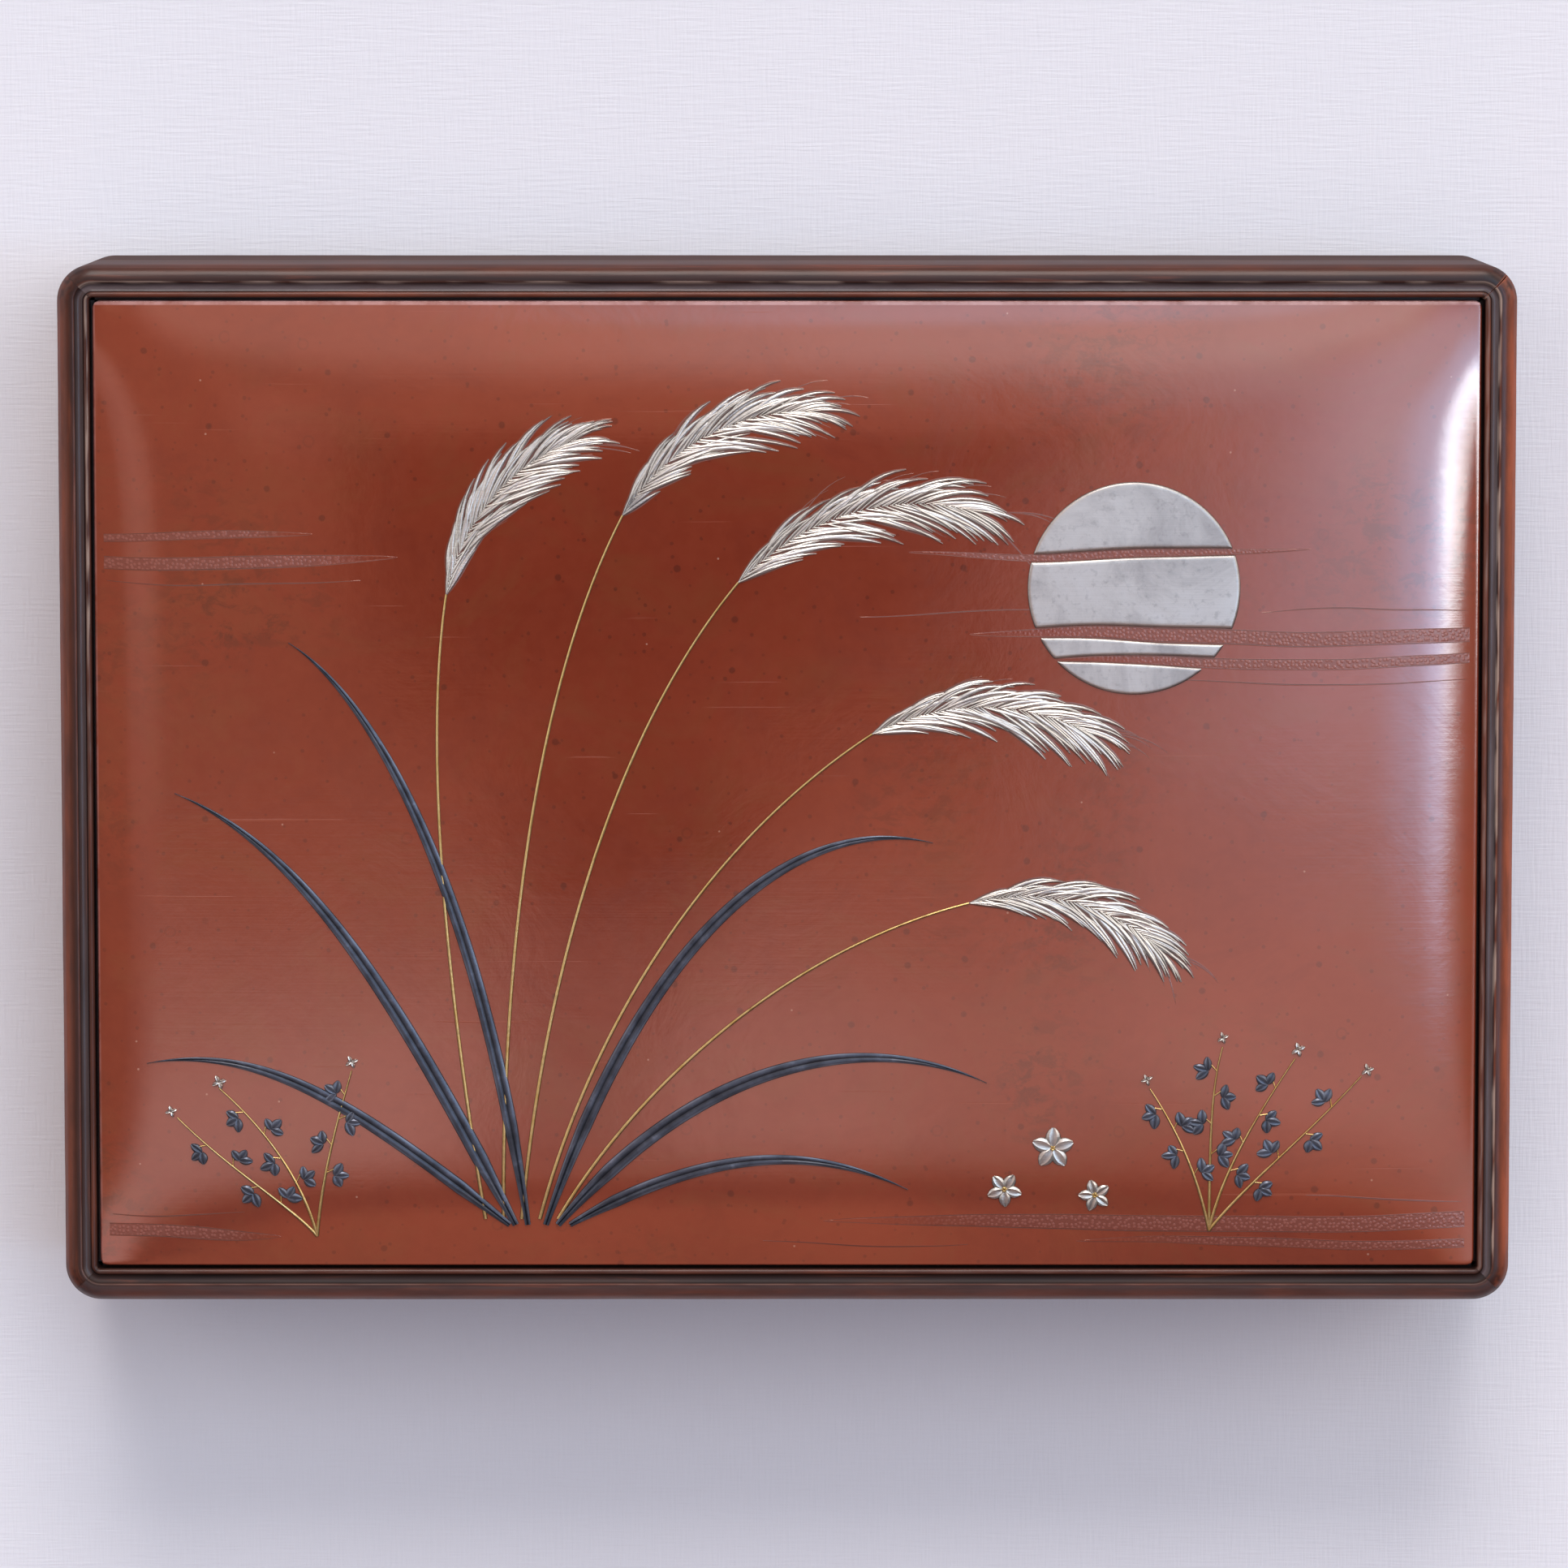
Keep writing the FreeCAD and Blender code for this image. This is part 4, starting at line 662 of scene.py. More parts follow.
def make_plate():
    lip = 0.35
    hx, hy = PLATE_X - lip, PLATE_Y - lip
    xs, ys = steps(hx, 0.55, 1.1, 26.0), steps(hy, 0.55, 1.1, 24.0)
    nx, ny = len(xs), len(ys)
    verts, faces = [], []
    for y in ys:
        for x in xs:
            verts.append((x, y, plate_top(x, y)))
    for j in range(ny - 1):
        for i in range(nx - 1):
            a = j * nx + i
            faces.append((a, a + 1, a + nx + 1, a + nx))
    loop = [i for i in range(nx)] + [j * nx + nx - 1 for j in range(1, ny)]
    loop += [(ny - 1) * nx + i for i in range(nx - 2, -1, -1)] + [j * nx for j in range(ny - 2, 0, -1)]
    rim = []  # (outward offset, height) rings under the crown's edge
    for k in range(1, 6):
        a = math.pi / 2 * k / 5
        rim.append((lip * math.sin(a), -lip * (1 - math.cos(a))))
    rings = [loop]
    for off, dz in rim:
        ring = []
        for i in loop:
            x, y, z = verts[i]
            ox = off if x > hx - 1e-4 else (-off if x < -hx + 1e-4 else 0.0)
            oy = off if y > hy - 1e-4 else (-off if y < -hy + 1e-4 else 0.0)
            ring.append(len(verts))
            verts.append((x + ox, y + oy, z + dz))
        rings.append(ring)
    last = rings[-1]
    ring = []
    for i in last:
        ring.append(len(verts))
        verts.append((verts[i][0], verts[i][1], SEAT))
    rings.append(ring)
    scale_in = ((PLATE_X - PLATE_THICK) / PLATE_X, (PLATE_Y - PLATE_THICK) / PLATE_Y)
    ring = []
    for i in rings[-1]:
        ring.append(len(verts))
        verts.append((verts[i][0] * scale_in[0], verts[i][1] * scale_in[1], SEAT))
    rings.append(ring)
    under = len(verts)
    for y in ys:
        for x in xs:
            verts.append((x / hx * (PLATE_X - PLATE_THICK), y / hy * (PLATE_Y - PLATE_THICK), dome(x, y) - PLATE_THICK))
    rings.append([under + i for i in loop])
    for r0, r1 in zip(rings, rings[1:]):
        n = len(r0)
        for k in range(n):
            m = (k + 1) % n
            faces.append((r0[k], r1[k], r1[m], r0[m]))
    for j in range(ny - 1):
        for i in range(nx - 1):
            a = under + j * nx + i
            faces.append((a, a + nx, a + nx + 1, a + 1))
    r = 1.2  # its corners are slightly rounded
    for i, (x, y, z) in enumerate(verts):
        p, q = (abs(x) - PLATE_X + r) / r, (abs(y) - PLATE_Y + r) / r
        if p > 0 and q > 0:
            p, q = p * math.sqrt(1 - q * q / 2), q * math.sqrt(1 - p * p / 2)
            verts[i] = (math.copysign(PLATE_X - r + r * p, x), math.copysign(PLATE_Y - r + r * q, y), z)
    return build("copper_plate", verts, faces, COPPER, "lid", "copper_patina", ["copper_panel"], sharp=50.0)


make_plate()


# ------------------------------------------------------------------ strips that lie on the plate
WIRE = [(-1.0, 0.0, 1.0), (-0.86, 0.45, 0.35), (-0.55, 0.82, 0.0), (0.0, 1.0, 0.0), (0.55, 0.82, 0.0), (0.86, 0.45, 0.35), (1.0, 0.0, 1.0)]
BLADE = [(-1.0, 0.0, 1.0), (-0.90, 0.62, 0.2), (-0.62, 0.92, 0.0), (-0.30, 0.98, 0.0), (0.0, 0.52, 0.75), (0.30, 0.98, 0.0),
         (0.62, 0.92, 0.0), (0.90, 0.62, 0.2), (1.0, 0.0, 1.0)]
GROOVE = [(-1.0, 0.0, 0.0), (-0.66, 1.0, 0.10), (-0.40, 0.60, 0.75), (0.0, 0.05, 1.0), (0.40, 0.5, 0.85), (0.66, 0.8, 0.15), (1.0, 0.0, 0.0)]


def strip(soup, path, half, section, height, under=-0.09, base=plate_top, crest=None):
    """A closed strip along a path in plan. half and height are numbers or functions of 0..1 along it."""
    n = len(path)
    loops, verts, groove, crests = [], [], [], []
    for i, (x, y) in enumerate(path):
        x0, y0 = path[max(i - 1, 0)]
        x1, y1 = path[min(i + 1, n - 1)]
        dx, dy = x1 - x0, y1 - y0
        m = math.hypot(dx, dy) or 1.0
        nx, ny = -dy / m, dx / m
        t = i / (n - 1)
        w = half(t) if callable(half) else half
        h = height(t) if callable(height) else height
        loop = []
        for u, k, g in section:
            px, py = x + nx * w * u, y + ny * w * u
            loop.append(len(verts))
            verts.append((px, py, base(px, py) + h * k + 0.004))
            groove.append(g)
            crests.append(crest(u, t) if crest else 0.0)
        for u in (0.96, -0.96):
            px, py = x + nx * w * u, y + ny * w * u
            loop.append(len(verts))
            verts.append((px, py, base(px, py) + under))
            groove.append(1.0)
            crests.append(0.0)
        loops.append(loop)
    faces = []
    for a, b in zip(loops, loops[1:]):
        m = len(a)
        for k in range(m):
            q = (k + 1) % m
            faces.append((a[k], b[k], b[q], a[q]))
    faces.append(tuple(loops[0]))
    faces.append(tuple(reversed(loops[-1])))
    soup.add(verts, faces, groove=groove, crest=crests)


def bez(p, t):
    a, b, c, d = p
    u = 1 - t
    return (a[0] * u ** 3 + 3 * b[0] * u * u * t + 3 * c[0] * u * t * t + d[0] * t ** 3,
            a[1] * u ** 3 + 3 * b[1] * u * u * t + 3 * c[1] * u * t * t + d[1] * t ** 3)


def curve(p, n, t0=0.0, t1=1.0):
    return [bez(p, t0 + (t1 - t0) * k / (n - 1)) for k in range(n)]


def heading(p, t):
    x1, y1 = bez(p, min(1.0, t + 0.004))
    x0, y0 = bez(p, max(0.0, t - 0.004))
    return math.atan2(y1 - y0, x1 - x0)


MOON = (57.0, 33.0, 17.5)
PLUMES = [
    ([(-44, -72), (-40, -30), (-28, 10), (-8, 34)], [(-8, 34), (3, 45), (18, 50), (33, 45)], 5.0),
    ([(-47, -72), (-47, -30), (-42, 16), (-27, 45)], [(-27, 45), (-20, 56), (-8, 63), (6, 62)], 4.6),
    ([(-41, -72), (-32, -38), (-12, -8), (14, 9)], [(14, 9), (26, 15), (40, 15), (52, 8)], 4.8),
    ([(-50, -72), (-56, -34), (-60, 6), (-56, 32)], [(-56, 32), (-53, 45), (-45, 54), (-33, 58)], 4.4),
    ([(-38, -72), (-24, -48), (2, -26), (30, -19)], [(30, -19), (42, -16), (54, -19), (63, -28)], 4.2),
]
LEAVES = [
    ([(-45, -73), (-62, -40), (-78, -10), (-101, -1)], 1.35),
    ([(-46, -73), (-70, -54), (-86, -42), (-106, -46)], 1.2),
    ([(-43, -73), (-50, -22), (-66, 14), (-82, 24)], 1.15),
    ([(-40, -73), (-22, -20), (4, -4), (24, -9)], 1.2),
    ([(-38, -73), (-14, -44), (14, -40), (33, -49)], 1.3),
    ([(-36, -73), (-14, -60), (4, -59), (20, -67)], 1.1),
]
SPRIGS = [
    [(-78, -75), (-80, -66), (-86, -57), (-94, -50)], [(-78, -75), (-77, -64), (-74, -54), (-72, -47)],
    [(-78, -75), (-82, -70), (-92, -64), (-101, -55)], [(70, -74), (72, -64), (78, -54), (84, -45)],
    [(70, -74), (76, -66), (86, -58), (95, -48)], [(70, -74), (68, -64), (64, -56), (60, -50)],
    [(70, -74), (70, -60), (70, -50), (72, -43)],
]
FLOWERS = [(44, -60, 3.2, 0.3), (36, -67, 2.6, 1.0), (51, -68, 2.4, 0.6)]
BUDS = [(-94, -49, 1.0), (-72, -45.5, 0.9), (-102, -54, 0.8), (84.5, -43.5, 1.0), (96, -47, 0.9), (59.5, -48.5, 0.8),
        (72, -41.5, 0.8)]


# mist bands: long lenses of stippled copper between cut lines: centre line y(x), x from..to, half thickness
MIST = [
    (30.0, 112.5, 25.2, 1.15, 0.7), (44.0, 112.5, 21.0, 0.8, 2.1), (20.0, 86.0, 38.8, 0.55, 3.3),
    (-112.5, -64.0, 37.5, 1.0, 4.0), (-112.5, -78.0, 41.5, 0.6, 5.1),
    (6.0, 112.5, -72.6, 1.3, 6.2), (48.0, 112.5, -76.2, 0.7, 7.3), (-112.5, -84.0, -74.5, 1.0, 8.4),
]


def mist_line(band, x):
    x0, x1, yc, half, seed = band
    return yc + 0.55 * math.sin((x - x0) / 15.0 + seed) + 0.5 * ripple(x, yc, 18.0, seed)


def mist_half(band, x):
    x0, x1, yc, half, seed = band
    t = (x - x0) / (x1 - x0)
    fade = 1.0 if (x1 > 103 and t > 0.5) or (x0 < -103 and t < 0.5) else math.sin(math.pi * min(max(t, 0.0), 1.0)) ** 0.7
    if x1 > 103 and t <= 0.5:
        fade = math.sin(math.pi * max(t, 0.0)) ** 0.7
    if x0 < -103 and t >= 0.5:
        fade = math.sin(math.pi * min(t, 1.0)) ** 0.7
    return half * fade


def make_mist():
    bands, lines = Soup("groove", "crest", "stip"), Soup("groove", "crest")
    for band in MIST:
        x0, x1 = band[0], band[1]
        n = int((x1 - x0) / 0.9)
        xs = [x0 + (x1 - x0) * k / n for k in range(n + 1)]
        mid = [(x, mist_line(band, x)) for x in xs]
        lens = [(-1.0, 0.0, 0.0), (-0.86, 0.9, 0.0), (-0.6, 1.0, 0.0), (-0.2, 1.0, 0.0), (0.2, 1.0, 0.0), (0.6, 1.0, 0.0), (0.86, 0.9, 0.0), (1.0, 0.0, 0.0)]
        before = len(bands.v)
        strip(bands, mid, lambda t: max(0.03, mist_half(band, x0 + (x1 - x0) * t)), lens, 0.016)
        # the stippling fades out towards the ends of the band
        per = len(lens) + 2
        for i in range(n + 1):
            fade = smooth(0.0, 0.25, i / n) * (1 - smooth(0.75, 1.0, i / n))
            if x1 > 103:
                fade = smooth(0.0, 0.35, i / n)
            if x0 < -103:
                fade = 1 - smooth(0.65, 1.0, i / n)
            for j in range(per):
                bands.a["stip"][before + i * per + j] = fade * (1.0 if 1 <= j <= 6 else 0.0)
        for side in (1, -1):
            edge = [(x, y + side * max(mist_half(band, x), 0.0)) for x, y in mid]
            strip(lines, edge, lambda t, s=side: 0.06 + (0.11 if s < 0 else 0.07) * math.sin(math.pi * min(1.0, max(0.02, t))) ** 0.5,
                  GROOVE, 0.014)
    for x0, x1, yc, seed, w in ((60, 112, 17.4, 1.0, 0.13), (-4, 30, -76.2, 2.0, 0.12), (12, 46, 28.8, 5.0, 0.10),
                                (-112, -70, 33.9, 3.0, 0.13), (-112, -90, -71.0, 4.0, 0.12), (78, 112, 29.2, 6.0, 0.11),
                                (86, 112, -68.8, 8.0, 0.12)):
        n = int(abs(x1 - x0) / 1.0)
        path = [(x0 + (x1 - x0) * k / n, yc + 0.5 * math.sin(k / 9.0 + seed) + 0.4 * ripple(k, yc, 14.0, seed)) for k in range(n + 1)]
        strip(lines, path, lambda t: 0.05 + w * math.sin(math.pi * min(0.98, max(0.02, t))), GROOVE, 0.013)
    bands.make("mist_bands", STIPPLED, body="lid", slot="copper_patina")
    lines.make("mist_lines", COPPER, body="lid", slot="copper_patina")


make_mist()


def make_moon():
    """A silver disc let into the plate, left open where the mist passes in front of it."""
    cx, cy, r = MOON
    soup = Soup("groove", "crest")
    crossing = sorted([b for b in MIST if b[0] < cx < b[1] and abs(b[2] - cy) < r], key=lambda b: b[2])
    cuts = [None] + crossing + [None]
    for low, high in zip(cuts, cuts[1:]):
        cols = []
        n = 110
        for k in range(n + 1):
            a = math.pi * k / n
            x = cx - r * math.cos(a)
            half = r * math.sin(a)
            lo, hi = cy - half, cy + half
            if low is not None:
                lo = max(lo, mist_line(low, x) + mist_half(low, x) + 0.16)
            if high is not None:
                hi = min(hi, mist_line(high, x) - mist_half(high, x) - 0.16)
            if hi - lo > 0.12:
                cols.append((x, lo, hi))
        if len(cols) < 3:
            continue
        rows = 22
        verts, groove, loops = [], [], []
        for x, lo, hi in cols:
            loop = []
            for j in range(rows + 1):
                v = j / rows
                v = 0.5 - 0.5 * math.cos(math.pi * v)
                y = lo + (hi - lo) * v
                d = min(y - lo, hi - y, max(0.0, r - math.hypot(x - cx, y - cy)))
                rise = 0.40 * (1 - (1 - min(1.0, d / 0.5)) ** 2) ** 0.5 + 0.06 * (1 - ((x - cx) ** 2 + (y - cy) ** 2) / r ** 2)
                loop.append(len(verts))
                verts.append((x, y, plate_top(x, y) + rise + 0.004))
                groove.append(1.0 if d < 0.02 else max(0.0, 0.5 - d * 2.5))
            for y in (hi - 0.02, lo + 0.02):
                loop.append(len(verts))
                verts.append((x, y, plate_top(x, y) - 0.09))
                groove.append(1.0)
            loops.append(loop)
        faces = []
        for a, b in zip(loops, loops[1:]):
            m = len(a)
            for k in range(m):
                q = (k + 1) % m
                faces.append((a[k], a[q], b[q], b[k]))
        faces.append(tuple(reversed(loops[0])))
        faces.append(tuple(loops[-1]))
        soup.add(verts, faces, groove=groove)
    soup.make("moon", MOON_SILVER, body="lid", slot="silver", nodes=["inlay_moon"], sharp=60.0)


make_moon()


def make_plumes():
    """Each plume is a bundle of fine tapering locks, cut apart by dark lines."""
    hairs, shade = Soup("groove", "crest"), Soup("groove", "crest")
    for index, (_, axis, w) in enumerate(PLUMES):
        rng = random.Random(100 + index)
        count = 92
        order = list(range(count))
        for k in order:
            t0 = -0.02 + 0.97 * (k + rng.random() * 0.6) / count
            t0 = max(0.0, t0)
            x, y = bez(axis, t0)
            a = heading(axis, t0)
            side = 1 if k % 2 else -1
            body = math.sin(math.pi * min(1.0, 0.10 + t0 * 0.92)) ** 0.6
            length = w * (1.15 + 1.55 * body) * rng.uniform(0.75, 1.2)
            spread = side * (0.10 + 0.34 * body) * rng.uniform(0.5, 1.25)
            if side < 0:
                spread *= 1.25
            path, px, py = [], x, y
            m = 9
            for i in range(m):
                q = i / (m - 1)
                path.append((px, py))
                ang = a + spread * (1 - 0.55 * q) - 0.42 * q * q * (0.5 + abs(math.cos(a)))
                px += math.cos(ang) * length / (m - 1)
                py += math.sin(ang) * length / (m - 1)
            wide = rng.uniform(0.24, 0.40) * (0.75 + 0.4 * body)
            high = rng.uniform(0.24, 0.42)
            strip(hairs, path, lambda t, g=wide: max(0.03, g * math.sin(math.pi * min(0.985, 0.08 + t * 0.93)) ** 0.75),
                  WIRE, lambda t, h=high: h * (0.35 + 0.65 * math.sin(math.pi * min(0.97, 0.15 + 0.8 * t))))
            strip(shade, path, lambda t, g=wide: 0.05 + 1.5 * g * math.sin(math.pi * min(0.985, 0.05 + t * 0.95)) ** 0.6,
                  [(-1.0, 0.0, 0.4), (-0.6, 1.0, 1.0), (0.0, 1.0, 1.0), (0.6, 1.0, 1.0), (1.0, 0.0, 0.4)], 0.035)
        # loose hair lines cut into the plate round the plume
        for k in range(26):
            t0 = rng.uniform(0.1, 1.0)
            x, y = bez(axis, t0)
            a = heading(axis, t0)
            side = rng.choice((-1, 1))
            length = w * rng.uniform(1.6, 2.9)
            spread = side * rng.uniform(0.3, 0.62)
            path, px, py = [], x, y
            for i in range(10):
                q = i / 9
                path.append((px, py))
                ang = a + spread * (1 - 0.6 * q) - 0.5 * q * q
                px += math.cos(ang) * length / 9
                py += math.sin(ang) * length / 9
            strip(shade, path, lambda t: 0.04 + 0.10 * math.sin(math.pi * min(0.97, 0.03 + t)), GROOVE, 0.014)
    hairs.make("plumes", SILVER, body="lid", slot="silver", nodes=["inlay_plumes"])
    shade.make("plume_cuts", COPPER, body="lid", slot="copper_patina")


make_plumes()


def make_leaves():
    soup = Soup("groove", "crest")
    for index, (p, half) in enumerate(LEAVES):
        path = curve(p, 70)
        seed = index * 3.7

        def wide(t, half=half):
            return max(0.05, half * min(1.0, 0.42 + t / 0.2) * (1 - t ** 2.6))

        # crest paints a highlight along both shoulders of each blade, broken along its length
        def crest(u, t, seed=seed):
            edge = smooth(0.55, 0.9, abs(u)) * (1 - smooth(0.95, 1.0, abs(u)))
            return 0.9 * edge * (0.6 + 0.4 * math.sin(t * 40 + seed))

        strip(soup, path, wide, BLADE, lambda t: 0.46 * (1 - 0.55 * t), crest=crest)
    soup.make("leaves", DARK, body="lid", slot="dark_alloy", nodes=["inlay_leaves"])


make_leaves()


def make_stems():
    soup = Soup("groove", "crest")
    for p, _, _ in PLUMES:
        strip(soup, curve(p, 60), lambda t: 0.34 - 0.12 * t, WIRE, lambda t: 0.30 - 0.06 * t)
    for p in SPRIGS:
        strip(soup, curve(p, 26), lambda t: 0.30 - 0.16 * t, WIRE, 0.26)
        for k, t0 in enumerate((0.34, 0.5, 0.66, 0.82)):
            x, y = bez(p, t0)
            a = heading(p, t0) + (0.9 if k % 2 else -0.9)
            strip(soup, [(x + math.cos(a) * q * 0.5, y + math.sin(a) * q * 0.5) for q in range(5)], 0.13, WIRE, 0.2)
    soup.make("stems", GOLD, body="lid", slot="gold_alloy", nodes=["inlay_stems"])


make_stems()


def petal(soup, x, y, a, length, wide, high, notch=0.0, crest=0.5, fold=0.25):
    """One small leaf or petal: a pointed oval raised from the plate, with a crease down the middle."""
    n = 12
    path = [(x + math.cos(a) * length * k / (n - 1), y + math.sin(a) * length * k / (n - 1)) for k in range(n)]
    section = [(-1.0, 0.0, 1.0), (-0.86, 0.6, 0.1), (-0.5, 1.0, 0.0), (0.0, 1.0 - fold, 0.5), (0.5, 1.0, 0.0), (0.86, 0.6, 0.1), (1.0, 0.0, 1.0)]
    # the crest values paint a highlight on either side of the middle, stronger towards the tip
    strip(soup, path, lambda t: max(0.05, wide * math.sin(math.pi * min(0.965, 0.06 + 0.92 * t)) ** 0.62), section,
          lambda t: high * (0.45 + 0.55 * math.sin(math.pi * min(0.95, 0.1 + 0.85 * t))),
          crest=lambda u, t: crest * smooth(0.25, 0.6, abs(u)) * (1 - smooth(0.8, 1.0, abs(u))) * (0.4 + 0.6 * t))


def make_clover():
    soup = Soup("groove", "crest")
    rng = random.Random(7)
    for p in SPRIGS:
        for k, t in enumerate((0.34, 0.5, 0.66, 0.82)):
            x, y = bez(p, t)
            a = heading(p, t)
            side = 1 if k % 2 else -1
            cx, cy = x - math.sin(a) * 2.0 * side, y + math.cos(a) * 2.0 * side
            turn = a + 1.35 * side
            for d in (-1.15, 0.0, 1.15):
                b = turn + d + rng.uniform(-0.15, 0.15)
                petal(soup, cx - math.cos(turn) * 0.5, cy - math.sin(turn) * 0.5, b, rng.uniform(2.0, 2.5), rng.uniform(0.72, 0.9),
                      rng.uniform(0.34, 0.5), crest=0.95)
    soup.make("clover", DARK, body="lid", slot="dark_alloy", nodes=["inlay_clover"])


make_clover()


def make_flowers():
    soup, hearts = Soup("groove", "crest"), Soup("groove", "crest")
    for x, y, r, turn in FLOWERS:
        for k in range(5):
            a = turn + 2 * math.pi * k / 5
            petal(soup, x + math.cos(a) * 0.35, y + math.sin(a) * 0.35, a, r * 0.98, r * 0.40, 0.46, fold=0.35)
        for k in range(5):
            a = turn + 0.6 + 2 * math.pi * k / 5
            petal(hearts, x, y, a, 0.55, 0.2, 0.52, fold=0.0)
    rng = random.Random(21)
    for x, y, r in BUDS:
        for k in range(4):
            a = 0.4 + 2 * math.pi * k / 4 + rng.uniform(-0.2, 0.2)
            petal(soup, x + math.cos(a) * 0.1, y + math.sin(a) * 0.1, a, r * 1.1, r * 0.42, 0.42, fold=0.15)
    soup.make("flowers", SILVER, body="lid", slot="silver", nodes=["inlay_flowers"])
    hearts.make("flower_hearts", GOLD, body="lid", slot="gold_alloy")


make_flowers()


# ------------------------------------------------------------------ moulded rails and case walls
def arc(cu, cz, r, a0, a1, n):
    return [(cu + r * math.cos(math.radians(a0 + (a1 - a0) * k / n)), cz + r * math.sin(math.radians(a0 + (a1 - a0) * k / n)))
            for k in range(n + 1)]


def tagged(points, wear, rub=0.0):
    return [(u, z, wear, rub) for u, z in points]


def lid_profile():
    """Section of a lid rail from the inside bottom round over the top to the outside bottom.
    The third number is how far the dark lacquer has thinned to brown, the fourth how far it is rubbed through."""
    t = RAIL_TOP
    pts = tagged([(5.65, 27.0), (5.8, 27.15), (5.8, 35.0), (5.8, 43.4), (9.0, 43.4), (9.0, SEAT), (5.4, SEAT)], 0.0)
    pts += tagged([(5.4, 47.5)], 0.0)
    for k, (u, z) in enumerate(arc(4.9, t - 0.70, 0.5, 0, 180, 12)):
        crest = math.sin(math.pi * k / 12)
        pts.append((u, z, 0.40 * crest, 0.55 * smooth(0.75, 1.0, crest)))
    pts += tagged([(4.4, t - 0.60)], 0.0)
    pts += tagged(arc(3.79, t + 0.19, 0.85, 312, 207, 12), 0.0)
    pts += [(2.97, t - 0.13, 0.25, 0.0), (2.90, t - 0.045, 0.45, 0.12), (2.80, t - 0.01, 0.35, 0.05)]
    for k, (u, z) in enumerate(arc(2.6, t - 2.6, 2.6, 90, 180, 26)):
        pts.append((u, z, 0.12 + 0.80 * smooth(0, 13, k), 0.0))
    pts += tagged([(0.0, 44.0), (0.0, 39.0), (0.0, 33.0), (0.0, 28.6)], 0.62)
    pts += [(0.0, 27.5, 0.8, 0.0), (0.045, 27.22, 1.0, 0.15), (0.20, 27.05, 0.9, 0.1), (0.42, 27.0, 0.3, 0.0), (3.0, 27.0, 0.0, 0.0)]
    return pts


def wall_profile():
    pts = tagged([(3.4, 7.4), (6.0, 7.4), (6.0, 15.0), (6.0, 26.85), (5.85, 27.0), (3.0, 27.0)], 0.0)
    pts += [(0.42, 27.0, 0.3, 0.0), (0.20, 26.95, 0.9, 0.1), (0.045, 26.78, 1.0, 0.15), (0.0, 26.5, 0.7, 0.0)]
    pts += tagged([(0.0, 25.0), (0.0, 20.0), (0.0, 14.0), (0.0, 8.0)], 0.50)
    pts += [(0.0, 4.0, 0.6, 0.0), (0.05, 3.55, 0.9, 0.1), (0.22, 3.2, 0.9, 0.1), (0.55, 3.0, 0.4, 0.0), (3.4, 3.0, 0.0, 0.0)]
    return pts


def place_on(side, along, u):
    """Point in plan from the distance along a side and the distance inward."""
    if side == "front":
        return along, -W / 2 + u
    if side == "right":
        return L / 2 - u, along
    if side == "back":
        return -along, W / 2 - u
    return -L / 2 + u, -along


